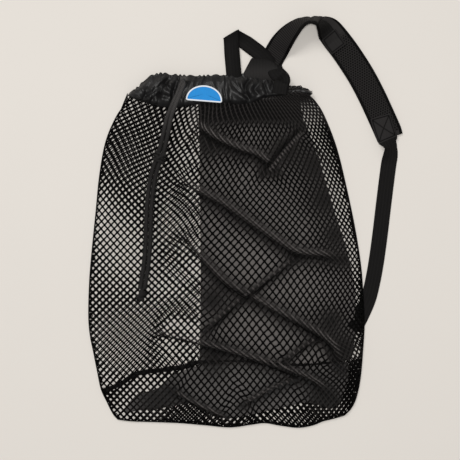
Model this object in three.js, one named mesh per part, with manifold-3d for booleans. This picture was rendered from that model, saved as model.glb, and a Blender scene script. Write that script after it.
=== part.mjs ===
// Drawstring mesh backpack lying flat on its back panel, mouth towards +Y.
// Millimetres, +Z up. The bag is laid out from the middle of its foot, then
// the whole group moves so that the origin is the bottom centre of its box.

import * as THREE from 'three';
import { mergeVertices } from 'three/addons/utils/BufferGeometryUtils.js';
import Module from 'manifold-3d';

const wasm = await Module();
wasm.setup();

// Sack
const sackWidth = 550;
const sackLength = 706;
const sackLoft = 24;
const foldHeight = 11;
const netThickness = 2;
const clothThickness = 2;
const clearance = 0.3;

// Net lattice of the front and back sheets
const netStrand = 14;
const netBorder = 12;
const frontColumns = 11;
const frontRows = 13;
const sideColumns = 4;
const sideRows = 14;
const edgeColumns = 2;
const edgeRows = 26;
const footColumns = 10;
const footRows = 2;
const rightStripBorder = 0.16;
const footStripBorder = 0.12;
const leastOpening = 0.35;

// Rise of the front net from its edges, as shares of its width and length: how far it
// takes at the sides and the foot, its height at the mouth, and the zones of each change
const sideSpread = 0.06;
const footSpread = 0.05;
const mouthHeight = 0.78;
const mouthZone = { from: 0.8, to: 1 };
const rightZone = { from: 0.8, to: 1 };
const tuckZone = { from: 0.93, to: 1 };
const foldZone = { from: 0.86, to: 0.98 };
const foldSamples = 16;

// Back panel, base and their seams
const seamLap = 6;
const seamGap = 1.6;
const bindingWidth = 8;
const bindingThickness = 1.6;
const bindingSteps = 24;
const panelSides = 12;

// Gathered hem with the drawcord channel
const hemHeight = 28;
const hemThickness = 3;
const hemPuff = 3;
const hemRuffle = 3;
const hemSeat = 0.9;
const netTuck = 6;
const tuckRise = 9;
const hemClosing = 0.82;
const ruffleWaves = [
  { share: 0.55, count: 17, phase: 0 },
  { share: 0.45, count: 27, phase: 1.3 },
];

// Label
const labelWidth = 72;
const labelRise = 29;
const labelSkirt = 3;
const labelThickness = 1.4;
const labelSides = 14;

// Drawcord
const cordDiameter = 8;
const knotLength = 28;
const knotWidth = 27;
const knotDepth = 17;
const knotSlack = 4;
const endKnotLength = 23;
const endKnotWidth = 24;
const endKnotDepth = 19;
const endKnotRows = 7;
const endKnotSides = 12;
const endKnotRoundness = 0.7;
const hitchSides = 8;

// Webbing, handle and anchor
const webbingWidth = 31;
const webbingThickness = 2;
const handleLevel = 6;
const handleUnder = 0.72;
const anchorThickness = 2;

// Padded shoulder strap
const padWidth = 55;
const padThickness = 9;
const padOverlayThickness = 1.6;
const padLap = 0.7;
const padPatchMargin = 3;

// Outline of the sack from its foot to its hem: shares of the half width and of the length
const leftOutline = [
  { across: -0.789, along: 0.023 },
  { across: -0.825, along: 0.040 },
  { across: -0.869, along: 0.074 },
  { across: -0.909, along: 0.108 },
  { across: -0.938, along: 0.161 },
  { across: -0.964, along: 0.212 },
  { across: -0.989, along: 0.261 },
  { across: -1.000, along: 0.317 },
  { across: -0.993, along: 0.416 },
  { across: -0.975, along: 0.501 },
  { across: -0.949, along: 0.601 },
  { across: -0.920, along: 0.714 },
  { across: -0.876, along: 0.807 },
  { across: -0.804, along: 0.875 },
  { across: -0.736, along: 0.914 },
  { across: -0.700, along: 0.936 },
  { across: -0.684, along: 0.946 },
];
const rightOutline = [
  { across: 0.855, along: 0.034 },
  { across: 0.905, along: 0.054 },
  { across: 0.942, along: 0.085 },
  { across: 0.971, along: 0.139 },
  { across: 0.989, along: 0.218 },
  { across: 1.000, along: 0.297 },
  { across: 0.989, along: 0.388 },
  { across: 0.971, along: 0.467 },
  { across: 0.927, along: 0.572 },
  { across: 0.865, along: 0.686 },
  { across: 0.796, along: 0.793 },
  { across: 0.710, along: 0.880 },
  { across: 0.650, along: 0.919 },
  { across: 0.609, along: 0.936 },
  { across: 0.589, along: 0.948 },
];
const footOutline = [
  { across: -0.687, along: 0.018 },
  { across: -0.520, along: 0.016 },
  { across: -0.338, along: 0.013 },
  { across: -0.156, along: 0.007 },
  { across: 0.025, along: 0.001 },
  { across: 0.171, along: 0.008 },
  { across: 0.280, along: 0.013 },
  { across: 0.389, along: 0.006 },
  { across: 0.520, along: 0.000 },
  { across: 0.622, along: 0.006 },
  { across: 0.702, along: 0.018 },
  { across: 0.775, along: 0.025 },
];

// Edges of the hem: where the net starts in front and behind, and the ruffled top edges
const hemFrontFoot = [
  { across: -0.720, along: 0.938 },
  { across: -0.658, along: 0.926 },
  { across: -0.571, along: 0.915 },
  { across: -0.484, along: 0.905 },
  { across: -0.375, along: 0.902 },
  { across: -0.265, along: 0.908 },
  { across: -0.156, along: 0.916 },
  { across: -0.011, along: 0.915 },
  { across: 0.098, along: 0.912 },
  { across: 0.185, along: 0.916 },
  { across: 0.273, along: 0.931 },
  { across: 0.375, along: 0.936 },
  { across: 0.476, along: 0.939 },
  { across: 0.625, along: 0.944 },
];
const hemBackFoot = [
  { across: -0.720, along: 0.938 },
  { across: -0.629, along: 0.926 },
  { across: -0.411, along: 0.921 },
  { across: -0.193, along: 0.921 },
  { across: 0.098, along: 0.922 },
  { across: 0.389, along: 0.928 },
  { across: 0.535, along: 0.935 },
  { across: 0.625, along: 0.944 },
];
const hemFrontTop = [
  { across: -0.702, along: 0.946 },
  { across: -0.636, along: 0.963 },
  { across: -0.593, along: 0.982 },
  { across: -0.535, along: 0.996 },
  { across: -0.469, along: 1.001 },
  { across: -0.396, along: 0.997 },
  { across: -0.302, along: 0.994 },
  { across: -0.193, along: 0.993 },
  { across: -0.091, along: 0.996 },
  { across: 0.098, along: 0.990 },
  { across: 0.207, along: 0.986 },
  { across: 0.316, along: 0.980 },
  { across: 0.404, along: 0.970 },
  { across: 0.469, along: 0.963 },
  { across: 0.535, along: 0.963 },
  { across: 0.607, along: 0.952 },
];
const hemBackTop = [
  { across: -0.702, along: 0.946 },
  { across: -0.636, along: 0.961 },
  { across: -0.535, along: 0.990 },
  { across: -0.396, along: 0.994 },
  { across: -0.091, along: 0.994 },
  { across: 0.098, along: 1.001 },
  { across: 0.229, along: 1.004 },
  { across: 0.353, along: 0.999 },
  { across: 0.411, along: 0.990 },
  { across: 0.447, along: 0.969 },
  { across: 0.505, along: 0.961 },
  { across: 0.607, along: 0.952 },
];
// Cross rows of the hem from its foot to its top: how puffed and ruffled it is there
const hemRows = [
  { share: 0, puff: 0, ruffle: 0.3, close: 0 },
  { share: 0.33, puff: 1, ruffle: 0.8, close: 0 },
  { share: 0.67, puff: 0.85, ruffle: 1, close: 0.3 },
  { share: 1, puff: 0, ruffle: 0.9, close: 1 },
];

// Seam across the back where the base is sewn on, and the side edges of the back panel
const baseSeam = [
  { across: -0.825, along: 0.110 },
  { across: -0.767, along: 0.123 },
  { across: -0.716, along: 0.137 },
  { across: -0.658, along: 0.150 },
  { across: -0.571, along: 0.158 },
  { across: -0.484, along: 0.161 },
  { across: -0.396, along: 0.166 },
  { across: -0.309, along: 0.171 },
  { across: -0.215, along: 0.183 },
  { across: 0.098, along: 0.187 },
  { across: 0.535, along: 0.176 },
  { across: 0.789, along: 0.187 },
];
const panelLeft = [
  { across: -0.200, along: 0.185 },
  { across: -0.193, along: 0.246 },
  { across: -0.189, along: 0.360 },
  { across: -0.189, along: 0.501 },
  { across: -0.193, along: 0.643 },
  { across: -0.196, along: 0.785 },
  { across: -0.207, along: 0.920 },
];
const panelRight = [
  { across: 0.912, along: 0.195 },
  { across: 0.942, along: 0.275 },
  { across: 0.942, along: 0.360 },
  { across: 0.920, along: 0.431 },
  { across: 0.876, along: 0.501 },
  { across: 0.818, along: 0.572 },
  { across: 0.760, along: 0.643 },
  { across: 0.695, along: 0.728 },
  { across: 0.622, along: 0.813 },
  { across: 0.556, along: 0.875 },
  { across: 0.524, along: 0.930 },
];
const basePanelOutline = [
  { across: -0.735, along: 0.040 },
  { across: -0.738, along: 0.055 },
  { across: -0.695, along: 0.076 },
  { across: -0.644, along: 0.095 },
  { across: -0.556, along: 0.103 },
  { across: -0.484, along: 0.113 },
  { across: -0.433, along: 0.136 },
  { across: -0.375, along: 0.150 },
  { across: -0.265, along: 0.163 },
  { across: -0.156, along: 0.173 },
  { across: 0.098, along: 0.177 },
  { across: 0.535, along: 0.166 },
  { across: 0.789, along: 0.176 },
  { across: 0.880, along: 0.180 },
  { across: 0.891, along: 0.142 },
  { across: 0.862, along: 0.102 },
  { across: 0.825, along: 0.071 },
  { across: 0.760, along: 0.051 },
  { across: 0.680, along: 0.062 },
  { across: 0.578, along: 0.071 },
  { across: 0.476, along: 0.062 },
  { across: 0.353, along: 0.051 },
  { across: 0.229, along: 0.040 },
  { across: 0.025, along: 0.037 },
  { across: -0.084, along: 0.042 },
  { across: -0.156, along: 0.054 },
  { across: -0.251, along: 0.069 },
  { across: -0.375, along: 0.062 },
  { across: -0.498, along: 0.051 },
  { across: -0.629, along: 0.048 },
];

// Folds of the front net: each runs from, via and to a point of the sack, with its
// rise as a share of the fold height and its half width as a share of the sack's
const folds = [
  { from: [-0.20, 0.87], via: [0.16, 0.79], to: [0.36, 0.73], rise: 0.75, spread: 0.065 },
  { from: [0.32, 0.72], via: [0.44, 0.79], to: [0.54, 0.83], rise: 0.50, spread: 0.050 },
  { from: [-0.42, 0.73], via: [0.10, 0.58], to: [0.88, 0.48], rise: 1.00, spread: 0.075 },
  { from: [-0.49, 0.60], via: [0.05, 0.35], to: [0.84, 0.20], rise: 0.95, spread: 0.080 },
  { from: [0.52, 0.49], via: [0.20, 0.38], to: [-0.16, 0.28], rise: -0.55, spread: 0.055 },
  { from: [-0.60, 0.26], via: [0.20, 0.25], to: [0.78, 0.10], rise: 0.80, spread: 0.070 },
  { from: [0.46, 0.20], via: [0.56, 0.24], to: [0.66, 0.27], rise: 0.40, spread: 0.045 },
  { from: [-0.02, 0.18], via: [0.40, 0.15], to: [0.80, 0.06], rise: -0.45, spread: 0.055 },
  { from: [0.17, 0.08], via: [0.30, 0.11], to: [0.46, 0.14], rise: 0.50, spread: 0.045 },
  { from: [-0.34, 0.10], via: [-0.12, 0.06], to: [0.08, 0.03], rise: 0.40, spread: 0.045 },
  { from: [-0.70, 0.74], via: [-0.82, 0.52], to: [-0.80, 0.34], rise: 0.45, spread: 0.080 },
  { from: [-0.30, 0.52], via: [-0.42, 0.40], to: [-0.72, 0.32], rise: -0.40, spread: 0.070 },
];

// Middle line of the padded strap from the anchor over the arch to its end: width and
// thickness as shares, tilt in degrees with the inner edge raised
const padRoute = [
  { across: 0.320, along: 1.031, width: 0.80, thickness: 0.30, tilt: 0 },
  { across: 0.342, along: 1.048, width: 0.82, thickness: 0.30, tilt: 0 },
  { across: 0.371, along: 1.068, width: 0.83, thickness: 0.42, tilt: 4 },
  { across: 0.404, along: 1.089, width: 0.84, thickness: 0.90, tilt: 18 },
  { across: 0.451, along: 1.112, width: 0.86, thickness: 1.00, tilt: 36 },
  { across: 0.513, along: 1.135, width: 0.92, thickness: 1.00, tilt: 58 },
  { across: 0.560, along: 1.145, width: 1.00, thickness: 1.00, tilt: 70 },
  { across: 0.604, along: 1.149, width: 1.00, thickness: 1.00, tilt: 74 },
  { across: 0.655, along: 1.147, width: 1.00, thickness: 1.00, tilt: 68 },
  { across: 0.698, along: 1.138, width: 1.00, thickness: 1.00, tilt: 44 },
  { across: 0.742, along: 1.123, width: 1.00, thickness: 1.00, tilt: 14 },
  { across: 0.796, along: 1.098, width: 1.00, thickness: 1.00, tilt: 0 },
  { across: 0.855, along: 1.068, width: 1.00, thickness: 1.00, tilt: 0 },
  { across: 0.913, along: 1.035, width: 1.00, thickness: 1.00, tilt: 0 },
  { across: 0.985, along: 0.990, width: 1.00, thickness: 1.00, tilt: 0 },
  { across: 1.055, along: 0.938, width: 1.00, thickness: 1.00, tilt: 0 },
  { across: 1.116, along: 0.887, width: 1.00, thickness: 1.00, tilt: 0 },
  { across: 1.171, along: 0.839, width: 1.00, thickness: 0.85, tilt: 0 },
  { across: 1.189, along: 0.819, width: 0.96, thickness: 0.55, tilt: 0 },
];
const padSteps = 36;
const padOverlay = { fromStep: 17, toStep: 23, offset: 0.06 };
const padPatchSteps = { fromStep: 21, toStep: 23 };

// Webbing from the end of the pad down to the seam at the foot of the panel: lift is a
// share of the pad's thickness
const strapRoute = [
  { across: 1.115, along: 0.880, lift: 1, tilt: 0 },
  { across: 1.135, along: 0.853, lift: 1, tilt: 0 },
  { across: 1.157, along: 0.827, lift: 1, tilt: 0 },
  { across: 1.178, along: 0.807, lift: 0.55, tilt: 14 },
  { across: 1.194, along: 0.790, lift: 0, tilt: 34 },
  { across: 1.191, along: 0.769, lift: 0, tilt: 16 },
  { across: 1.179, along: 0.743, lift: 0, tilt: 0 },
  { across: 1.160, along: 0.686, lift: 0, tilt: 0 },
  { across: 1.142, along: 0.629, lift: 0, tilt: 0 },
  { across: 1.116, along: 0.544, lift: 0, tilt: 0 },
  { across: 1.091, along: 0.473, lift: 0, tilt: 0 },
  { across: 1.065, along: 0.416, lift: 0, tilt: 0 },
  { across: 1.033, along: 0.365, lift: 0, tilt: 0 },
  { across: 0.985, along: 0.320, lift: 0, tilt: 0 },
  { across: 0.927, along: 0.275, lift: 0, tilt: 0 },
  { across: 0.862, along: 0.228, lift: 0, tilt: 0 },
];
const strapSteps = 24;

// Grab handle: one leg rises from the mouth, folds over an oblique crease and comes back
// under itself to the anchor. Cross is the direction of its width, in degrees.
const handleRise = [
  { across: 0.065, along: 0.950, level: 1, cross: 0 },
  { across: 0.058, along: 0.983, level: 1, cross: 0 },
  { across: 0.051, along: 1.011, level: 1, cross: 0 },
  { across: 0.042, along: 1.051, level: 1, cross: 3 },
  { across: 0.037, along: 1.083, level: 1, cross: 12 },
];
const handleCrease = { across: 0.036, along: 1.110, cross: 30.7 };
const creaseTurns = [80, 40, 0, -40, -80];
const handleReturn = [
  { across: 0.138, along: 1.089, level: 0.42, cross: 45 },
  { across: 0.229, along: 1.062, level: handleUnder, cross: 52 },
  { across: 0.287, along: 1.040, level: handleUnder, cross: 50 },
  { across: 0.320, along: 1.022, level: handleUnder, cross: 48 },
];
const anchorOutline = [
  { across: 0.182, along: 1.045 },
  { across: 0.302, along: 1.042 },
  { across: 0.353, along: 1.030 },
  { across: 0.389, along: 1.008 },
  { across: 0.396, along: 0.989 },
  { across: 0.380, along: 0.966 },
  { across: 0.150, along: 0.972 },
  { across: 0.122, along: 1.001 },
];
// Tab of webbing from the anchor over the hem: level is a share of the hem's height
const tabRoute = [
  { across: 0.360, along: 1.004, level: 0.34 },
  { across: 0.385, along: 0.994, level: 0.42 },
  { across: 0.405, along: 0.983, level: 0.82 },
  { across: 0.400, along: 0.972, level: 1.10 },
  { across: 0.392, along: 0.960, level: 1.175 },
  { across: 0.384, along: 0.940, level: 1.175 },
];
const tabWindow = { middle: 0.392, from: 0.08, to: 0.13 };

const labelPlace = { across: -0.162, along: 0.9235, turn: -4.5 };
const labelWindow = { middle: -0.162, from: 0.152, to: 0.247 };

// Route of each drawcord strand, chosen by hand: x and y from the middle of the sack's
// foot and z from the floor
const leftCordPoints = [
  [-87, 690, 34], [-91, 680, 35.2], [-97, 665, 35.9], [-104, 650, 35.8], [-112, 632, 33.6],
  [-119, 614, 30.2], [-123.5, 594, 31.6], [-127.5, 574, 40], [-131.5, 556, 45.6],
  [-137, 538, 46.6], [-144, 520, 46.2], [-150, 498, 41.8], [-154, 474, 39.8], [-157, 444, 41.2],
  [-158.5, 414, 41.5], [-159.5, 384, 38], [-161, 354, 36.6], [-164, 324, 34.2],
  [-168, 298, 33.8], [-171.5, 277, 36.3],
];
const rightCordPoints = [
  [-83, 686, 41.4], [-87, 676, 42.4], [-93, 661, 43.2], [-99.5, 646, 43], [-106, 629, 41],
  [-111, 612, 34.8], [-114.5, 593, 32.6], [-118.5, 573, 40], [-122.5, 555, 45.6],
  [-128, 537, 46.6], [-135, 519, 46.2], [-141, 497, 42.6], [-145, 473, 40.4], [-148, 444, 42.4],
  [-149.5, 414, 42.4], [-150.5, 384, 38.8], [-152, 354, 37.4], [-155, 324, 34.8],
  [-159, 298, 34], [-162.5, 277, 36.3],
];
const cordSteps = 30;
const cordSides = 8;
const knotPlace = { x: -132.6, y: 537.6, z: 46.4, heading: 250 };
const endKnotPlace = { x: -169.4, y: 265, z: 36.7, heading: 257 };

const colours = {
  net: { color: 0x17171a, roughness: 0.55, metalness: 0 },
  nylon: { color: 0x1d1e21, roughness: 0.5, metalness: 0 },
  panel: { color: 0x2a2b2e, roughness: 0.85, metalness: 0 },
  webbing: { color: 0x1e1e21, roughness: 0.7, metalness: 0 },
  pad: { color: 0x222326, roughness: 0.9, metalness: 0 },
  cord: { color: 0x1b1c1e, roughness: 0.75, metalness: 0 },
  label: { color: 0x1f8fd6, roughness: 0.4, metalness: 0 },
};

const group = new THREE.Group();

// Plain helpers for numbers and places

function place(row) {
  return new THREE.Vector2(row.across * sackWidth / 2, row.along * sackLength);
}

function spot([across, along]) {
  return place({ across, along });
}

function lerp(a, b, share) {
  return a + (b - a) * share;
}

function smooth(edge0, edge1, value) {
  return THREE.MathUtils.smoothstep(value, edge0, edge1);
}

function alongAt(rows, x) {
  const across = x / (sackWidth / 2);
  const last = rows.length - 1;
  if (across <= rows[0].across) return rows[0].along * sackLength;
  if (across >= rows[last].across) return rows[last].along * sackLength;
  const next = rows.findIndex((row) => row.across > across);
  const a = rows[next - 1];
  const b = rows[next];
  return lerp(a.along, b.along, (across - a.across) / (b.across - a.across)) * sackLength;
}

function columnAt(rows, column, share) {
  const position = THREE.MathUtils.clamp(share, 0, 1) * (rows.length - 1);
  const index = Math.min(Math.floor(position), rows.length - 2);
  return lerp(rows[index][column], rows[index + 1][column], position - index);
}

// A point of a curve given as a share, with a part of the curve cut out and moved
function edge(curve, from = 0, to = 1, dx = 0, dy = 0) {
  return (share) => curve.getPointAt(lerp(from, to, share)).add(new THREE.Vector2(dx, dy));
}

function shareAtX(curve, x) {
  let low = 0;
  let high = 1;
  for (let step = 0; step < 30; step += 1) {
    const middle = (low + high) / 2;
    if (curve.getPointAt(middle).x < x) low = middle;
    else high = middle;
  }
  return (low + high) / 2;
}

// Sheet spanned by four edges, as a point for two shares
function span({ left, right, foot, head }) {
  return (u, v) => {
    const point = foot(u).multiplyScalar(1 - v);
    point.addScaledVector(head(u), v);
    point.addScaledVector(left(v), 1 - u);
    point.addScaledVector(right(v), u);
    point.addScaledVector(left(0), -(1 - u) * (1 - v));
    point.addScaledVector(right(0), -u * (1 - v));
    point.addScaledVector(left(1), -(1 - u) * v);
    point.addScaledVector(right(1), -u * v);
    return point;
  };
}

// Closed solids

function solid(points, triangles) {
  let volume = 0;
  for (const [a, b, c] of triangles) {
    const cross = new THREE.Vector3().crossVectors(points[b], points[c]);
    volume += points[a].dot(cross);
  }
  const outward = volume > 0 ? triangles : triangles.map(([a, b, c]) => [a, c, b]);
  const geometry = new THREE.BufferGeometry().setFromPoints(points);
  geometry.setIndex(outward.flat());
  geometry.computeVertexNormals();
  return geometry;
}

// Sheet between two skins, closed along every free edge
function thicken(lower, upper, faces) {
  const count = lower.length;
  const triangles = [];
  const free = new Map();
  for (const [a, b, c] of faces) {
    triangles.push([a + count, b + count, c + count]);
    triangles.push([c, b, a]);
    for (const [from, to] of [[a, b], [b, c], [c, a]]) {
      if (!free.delete(to + ',' + from)) free.set(from + ',' + to, [from, to]);
    }
  }
  for (const [from, to] of free.values()) {
    triangles.push([from, to, to + count]);
    triangles.push([from, to + count, from + count]);
  }
  return solid([...lower, ...upper], triangles);
}

// Solid through a row of frames, each with a centre, two axes and a section. The sides
// in flipped are split along their other diagonal.
function loft(frames, flipped = []) {
  const sides = frames[0].section.length;
  const points = [];
  for (const { centre, across, up, section } of frames) {
    for (const [a, b] of section) {
      points.push(centre.clone().addScaledVector(across, a).addScaledVector(up, b));
    }
  }
  const triangles = [];
  for (let ring = 0; ring < frames.length - 1; ring += 1) {
    for (let side = 0; side < sides; side += 1) {
      const a = ring * sides + side;
      const b = ring * sides + (side + 1) % sides;
      if (flipped.includes(side)) {
        triangles.push([a, b, a + sides]);
        triangles.push([b, b + sides, a + sides]);
      } else {
        triangles.push([a, b, b + sides]);
        triangles.push([a, b + sides, a + sides]);
      }
    }
  }
  const top = (frames.length - 1) * sides;
  for (let side = 1; side < sides - 1; side += 1) {
    triangles.push([0, side + 1, side]);
    triangles.push([top, top + side, top + side + 1]);
  }
  return solid(points, triangles);
}

function flatSection(width, thickness) {
  const w = width / 2;
  const t = thickness / 2;
  return [[w, -t], [-w, -t], [-w, t], [w, t]];
}

// Flat band whose two faces are split along the same diagonals, so that it keeps its
// thickness where it twists
function bandLoft(frames) {
  return loft(frames, [2]);
}

// Cushioned section with rounded sides, and points on top where the webbing's edges lie
function softSection(width, thickness, edges) {
  const w = width / 2;
  const t = thickness / 2;
  const inset = Math.min(t * 1.2, w / 3);
  return [
    [-w + inset, -t], [w - inset, -t], [w, -t * 0.4], [w, t * 0.4], [w - inset, t],
    ...edges.map((a) => [a, t]),
    [-w + inset, t], [-w, t * 0.4], [-w, -t * 0.4],
  ];
}

function flatPiece(outline, thickness, level) {
  const shape = new THREE.Shape(outline);
  const geometry = new THREE.ExtrudeGeometry(shape, { depth: thickness, bevelEnabled: false });
  return geometry.translate(0, 0, level);
}

function toManifold(geometry) {
  const bare = geometry.clone();
  bare.deleteAttribute('normal');
  bare.deleteAttribute('uv');
  const merged = mergeVertices(bare, 1e-4);
  return new wasm.Manifold(new wasm.Mesh({
    numProp: 3,
    vertProperties: new Float32Array(merged.attributes.position.array),
    triVerts: new Uint32Array(merged.index.array),
  }));
}

function fromManifold(body) {
  const mesh = body.getMesh();
  const geometry = new THREE.BufferGeometry();
  geometry.setAttribute('position', new THREE.BufferAttribute(mesh.vertProperties, 3));
  geometry.setIndex(new THREE.BufferAttribute(mesh.triVerts, 1));
  geometry.computeVertexNormals();
  return geometry;
}

function addPiece(name, geometry, finish) {
  const material = new THREE.MeshStandardMaterial({ ...colours[finish] });
  const mesh = new THREE.Mesh(geometry, material);
  mesh.name = name;
  group.add(mesh);
  return mesh;
}

// Curves that the pieces share

const leftCurve = new THREE.SplineCurve(leftOutline.map(place));
const rightCurve = new THREE.SplineCurve(rightOutline.map(place));
const footCurve = new THREE.SplineCurve([
  leftCurve.getPointAt(0),
  ...footOutline.map(place),
  rightCurve.getPointAt(0),
]);

// Shares of the side outlines at which the base seam and the back of the hem meet them
const seamMeets = { left: 0.115, right: 0.205 };
const hemMeets = { left: 0.955, right: 0.955 };

const seamCurve = new THREE.SplineCurve([
  leftCurve.getPointAt(seamMeets.left),
  ...baseSeam.map(place),
  rightCurve.getPointAt(seamMeets.right),
]);
const backHeadCurve = new THREE.SplineCurve([
  leftCurve.getPointAt(hemMeets.left),
  ...hemBackFoot.slice(1, -1).map(place).map((p) => p.sub(new THREE.Vector2(0, hemSeat))),
  rightCurve.getPointAt(hemMeets.right),
]);

function panelEdge(rows) {
  const first = place(rows[0]);
  const last = place(rows[rows.length - 1]);
  const seamShare = shareAtX(seamCurve, first.x);
  const headShare = shareAtX(backHeadCurve, last.x);
  const curve = new THREE.SplineCurve([
    seamCurve.getPointAt(seamShare),
    ...rows.slice(1, -1).map(place),
    backHeadCurve.getPointAt(headShare),
  ]);
  return { curve, seamShare, headShare };
}

const panelLeftEdge = panelEdge(panelLeft);
const panelRightEdge = panelEdge(panelRight);

// Height of the front net's underside above the floor

function fallFrom(distance, spread) {
  return Math.exp(-distance / spread);
}

function foldRise(x, y) {
  let rise = 0;
  for (const fold of folds) {
    const from = spot(fold.from);
    const via = spot(fold.via);
    const to = spot(fold.to);
    const curve = new THREE.QuadraticBezierCurve(from, via.multiplyScalar(2)
      .sub(from.clone().add(to).multiplyScalar(0.5)), to);
    let nearest = Infinity;
    for (let step = 0; step <= foldSamples; step += 1) {
      const p = curve.getPoint(step / foldSamples);
      nearest = Math.min(nearest, Math.hypot(p.x - x, p.y - y));
    }
    const away = nearest / (fold.spread * sackWidth);
    rise += fold.rise * Math.exp(-away * away);
  }
  return rise * foldHeight;
}

function zoneShare({ from, to }, share) {
  return smooth(from, to, share);
}

function frontHeight(u, v, x, y) {
  const side = (1 - fallFrom(u, sideSpread)) * (1 - fallFrom(1 - u, sideSpread));
  const foot = 1 - fallFrom(v, footSpread);
  const mouth = lerp(1, mouthHeight, zoneShare(mouthZone, v));
  const rim = clearance + netThickness;
  const rightRim = rim * zoneShare(rightZone, u);
  const tuck = tuckRise * zoneShare(tuckZone, v);
  const dome = Math.max(tuck, sackLoft * side * foot * mouth);
  const foldFade = side * foot * (1 - zoneShare(foldZone, v));
  return rim + rightRim + dome + foldRise(x, y) * foldFade;
}

// Net sheet with a diamond lattice cut through it, and a plain border

function gridShares(inner, borderShare) {
  const shares = [0];
  for (let index = 0; index <= inner; index += 1) {
    shares.push(lerp(borderShare, 1 - borderShare, index / inner));
  }
  shares.push(1);
  return shares;
}

function netSheet({ columns, rows, at, underside, steps }) {
  const lower = [];
  const upper = [];
  const known = new Map();
  const faces = [];
  const quarters = [[1, 0, 0, 1], [0, 1, -1, 0], [-1, 0, 0, -1], [0, -1, 1, 0]];

  function pointAt(u, v) {
    const key = u.toFixed(6) + ',' + v.toFixed(6);
    if (!known.has(key)) {
      const { x, y } = at(u, v);
      const z = underside(u, v, x, y);
      known.set(key, lower.length);
      lower.push(new THREE.Vector3(x, y, z));
      upper.push(new THREE.Vector3(x, y, z + netThickness));
    }
    return known.get(key);
  }

  // Share of a diamond that is open, so that the strands keep their width
  function openShare(i, j) {
    const middle = at(columns[i], rows[j]);
    let nearest = Infinity;
    for (const [ai, aj, bi, bj] of quarters) {
      const a = at(columns[i + ai], rows[j + aj]);
      const b = at(columns[i + bi], rows[j + bj]);
      const area = Math.abs((a.x - middle.x) * (b.y - middle.y) - (a.y - middle.y) * (b.x - middle.x));
      nearest = Math.min(nearest, area / a.distanceTo(b));
    }
    return Math.max(leastOpening, 1 - netStrand / 2 / nearest);
  }

  for (let i = 0; i < columns.length; i += 1) {
    for (let j = i % 2; j < rows.length; j += 2) {
      const pierced = i > 1 && j > 1 && i < columns.length - 2 && j < rows.length - 2;
      const open = pierced ? openShare(i, j) : 0;
      for (const [ai, aj, bi, bj] of quarters) {
        const a = [columns[i + ai], rows[j + aj]];
        const b = [columns[i + bi], rows[j + bj]];
        if ([...a, ...b].includes(undefined)) continue;
        const rim = [];
        const hole = [];
        for (let step = 0; step <= steps; step += 1) {
          const u = lerp(a[0], b[0], step / steps);
          const v = lerp(a[1], b[1], step / steps);
          rim.push(pointAt(u, v));
          hole.push(pointAt(lerp(columns[i], u, open), lerp(rows[j], v, open)));
        }
        for (let step = 0; step < steps; step += 1) {
          faces.push([hole[step], rim[step], rim[step + 1]]);
          if (pierced) faces.push([hole[step], rim[step + 1], hole[step + 1]]);
        }
      }
    }
  }
  return thicken(lower, upper, faces);
}

// Front of the sack

const frontHeadCurve = new THREE.SplineCurve([
  leftCurve.getPointAt(1),
  ...hemFrontFoot.slice(1, -1).map(place).map((p) => p.add(new THREE.Vector2(0, netTuck))),
  rightCurve.getPointAt(1),
]);
const borderShare = netBorder / sackWidth;
const leftStripWidth = place(panelLeft[0]).x - place(leftOutline[7]).x;

addPiece('net_front', netSheet({
  columns: gridShares(frontColumns, borderShare),
  rows: gridShares(frontRows, borderShare),
  at: span({
    left: edge(leftCurve),
    right: edge(rightCurve),
    foot: edge(footCurve),
    head: edge(frontHeadCurve),
  }),
  underside: frontHeight,
  steps: 3,
}), 'net');

// Back of the sack: a net strip on each side of the panel and one below the base seam

const halfGap = clearance / 2;
const rightLevel = netThickness + clearance;

addPiece('net_back_left', netSheet({
  columns: gridShares(sideColumns, netBorder / leftStripWidth),
  rows: gridShares(sideRows, borderShare),
  at: span({
    left: edge(leftCurve, seamMeets.left, hemMeets.left, 0, halfGap),
    right: edge(panelLeftEdge.curve, 0, 1, -clearance, halfGap),
    foot: edge(seamCurve, 0, panelLeftEdge.seamShare, -halfGap, halfGap),
    head: edge(backHeadCurve, 0, panelLeftEdge.headShare, -halfGap, halfGap),
  }),
  underside: () => 0,
  steps: 1,
}), 'net');

addPiece('net_back_right', netSheet({
  columns: gridShares(edgeColumns, rightStripBorder),
  rows: gridShares(edgeRows, borderShare),
  at: span({
    left: edge(panelRightEdge.curve, 0, 1, -seamLap, halfGap),
    right: edge(rightCurve, seamMeets.right, hemMeets.right, 0, halfGap),
    foot: edge(seamCurve, panelRightEdge.seamShare, 1, 0, halfGap),
    head: edge(backHeadCurve, panelRightEdge.headShare, 1, 0, halfGap),
  }),
  underside: () => rightLevel,
  steps: 1,
}), 'net');

addPiece('net_back_foot', netSheet({
  columns: gridShares(footColumns, borderShare),
  rows: gridShares(footRows, footStripBorder),
  at: span({
    left: edge(leftCurve, 0, seamMeets.left, 0, -halfGap),
    right: edge(rightCurve, 0, seamMeets.right, 0, -halfGap),
    foot: edge(footCurve, 0, 1, 0, -halfGap),
    head: edge(seamCurve, 0, 1, 0, -seamGap),
  }),
  underside: () => 0,
  steps: 1,
}), 'net');

const panelOutline = [];
for (let step = 0; step < panelSides; step += 1) {
  panelOutline.push(edge(panelLeftEdge.curve, 0, 1, halfGap, halfGap)(step / panelSides));
}
for (let step = 0; step < panelSides; step += 1) {
  const { headShare } = panelLeftEdge;
  panelOutline.push(edge(backHeadCurve, headShare, panelRightEdge.headShare, 0, 0)(step / panelSides));
}
for (let step = 0; step < panelSides; step += 1) {
  panelOutline.push(edge(panelRightEdge.curve, 1, 0, -halfGap, halfGap)(step / panelSides));
}
for (let step = 0; step < panelSides; step += 1) {
  const { seamShare } = panelRightEdge;
  panelOutline.push(edge(seamCurve, seamShare, panelLeftEdge.seamShare, 0, halfGap)(step / panelSides));
}
addPiece('back_panel', flatPiece(panelOutline, clothThickness, 0), 'panel');

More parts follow.
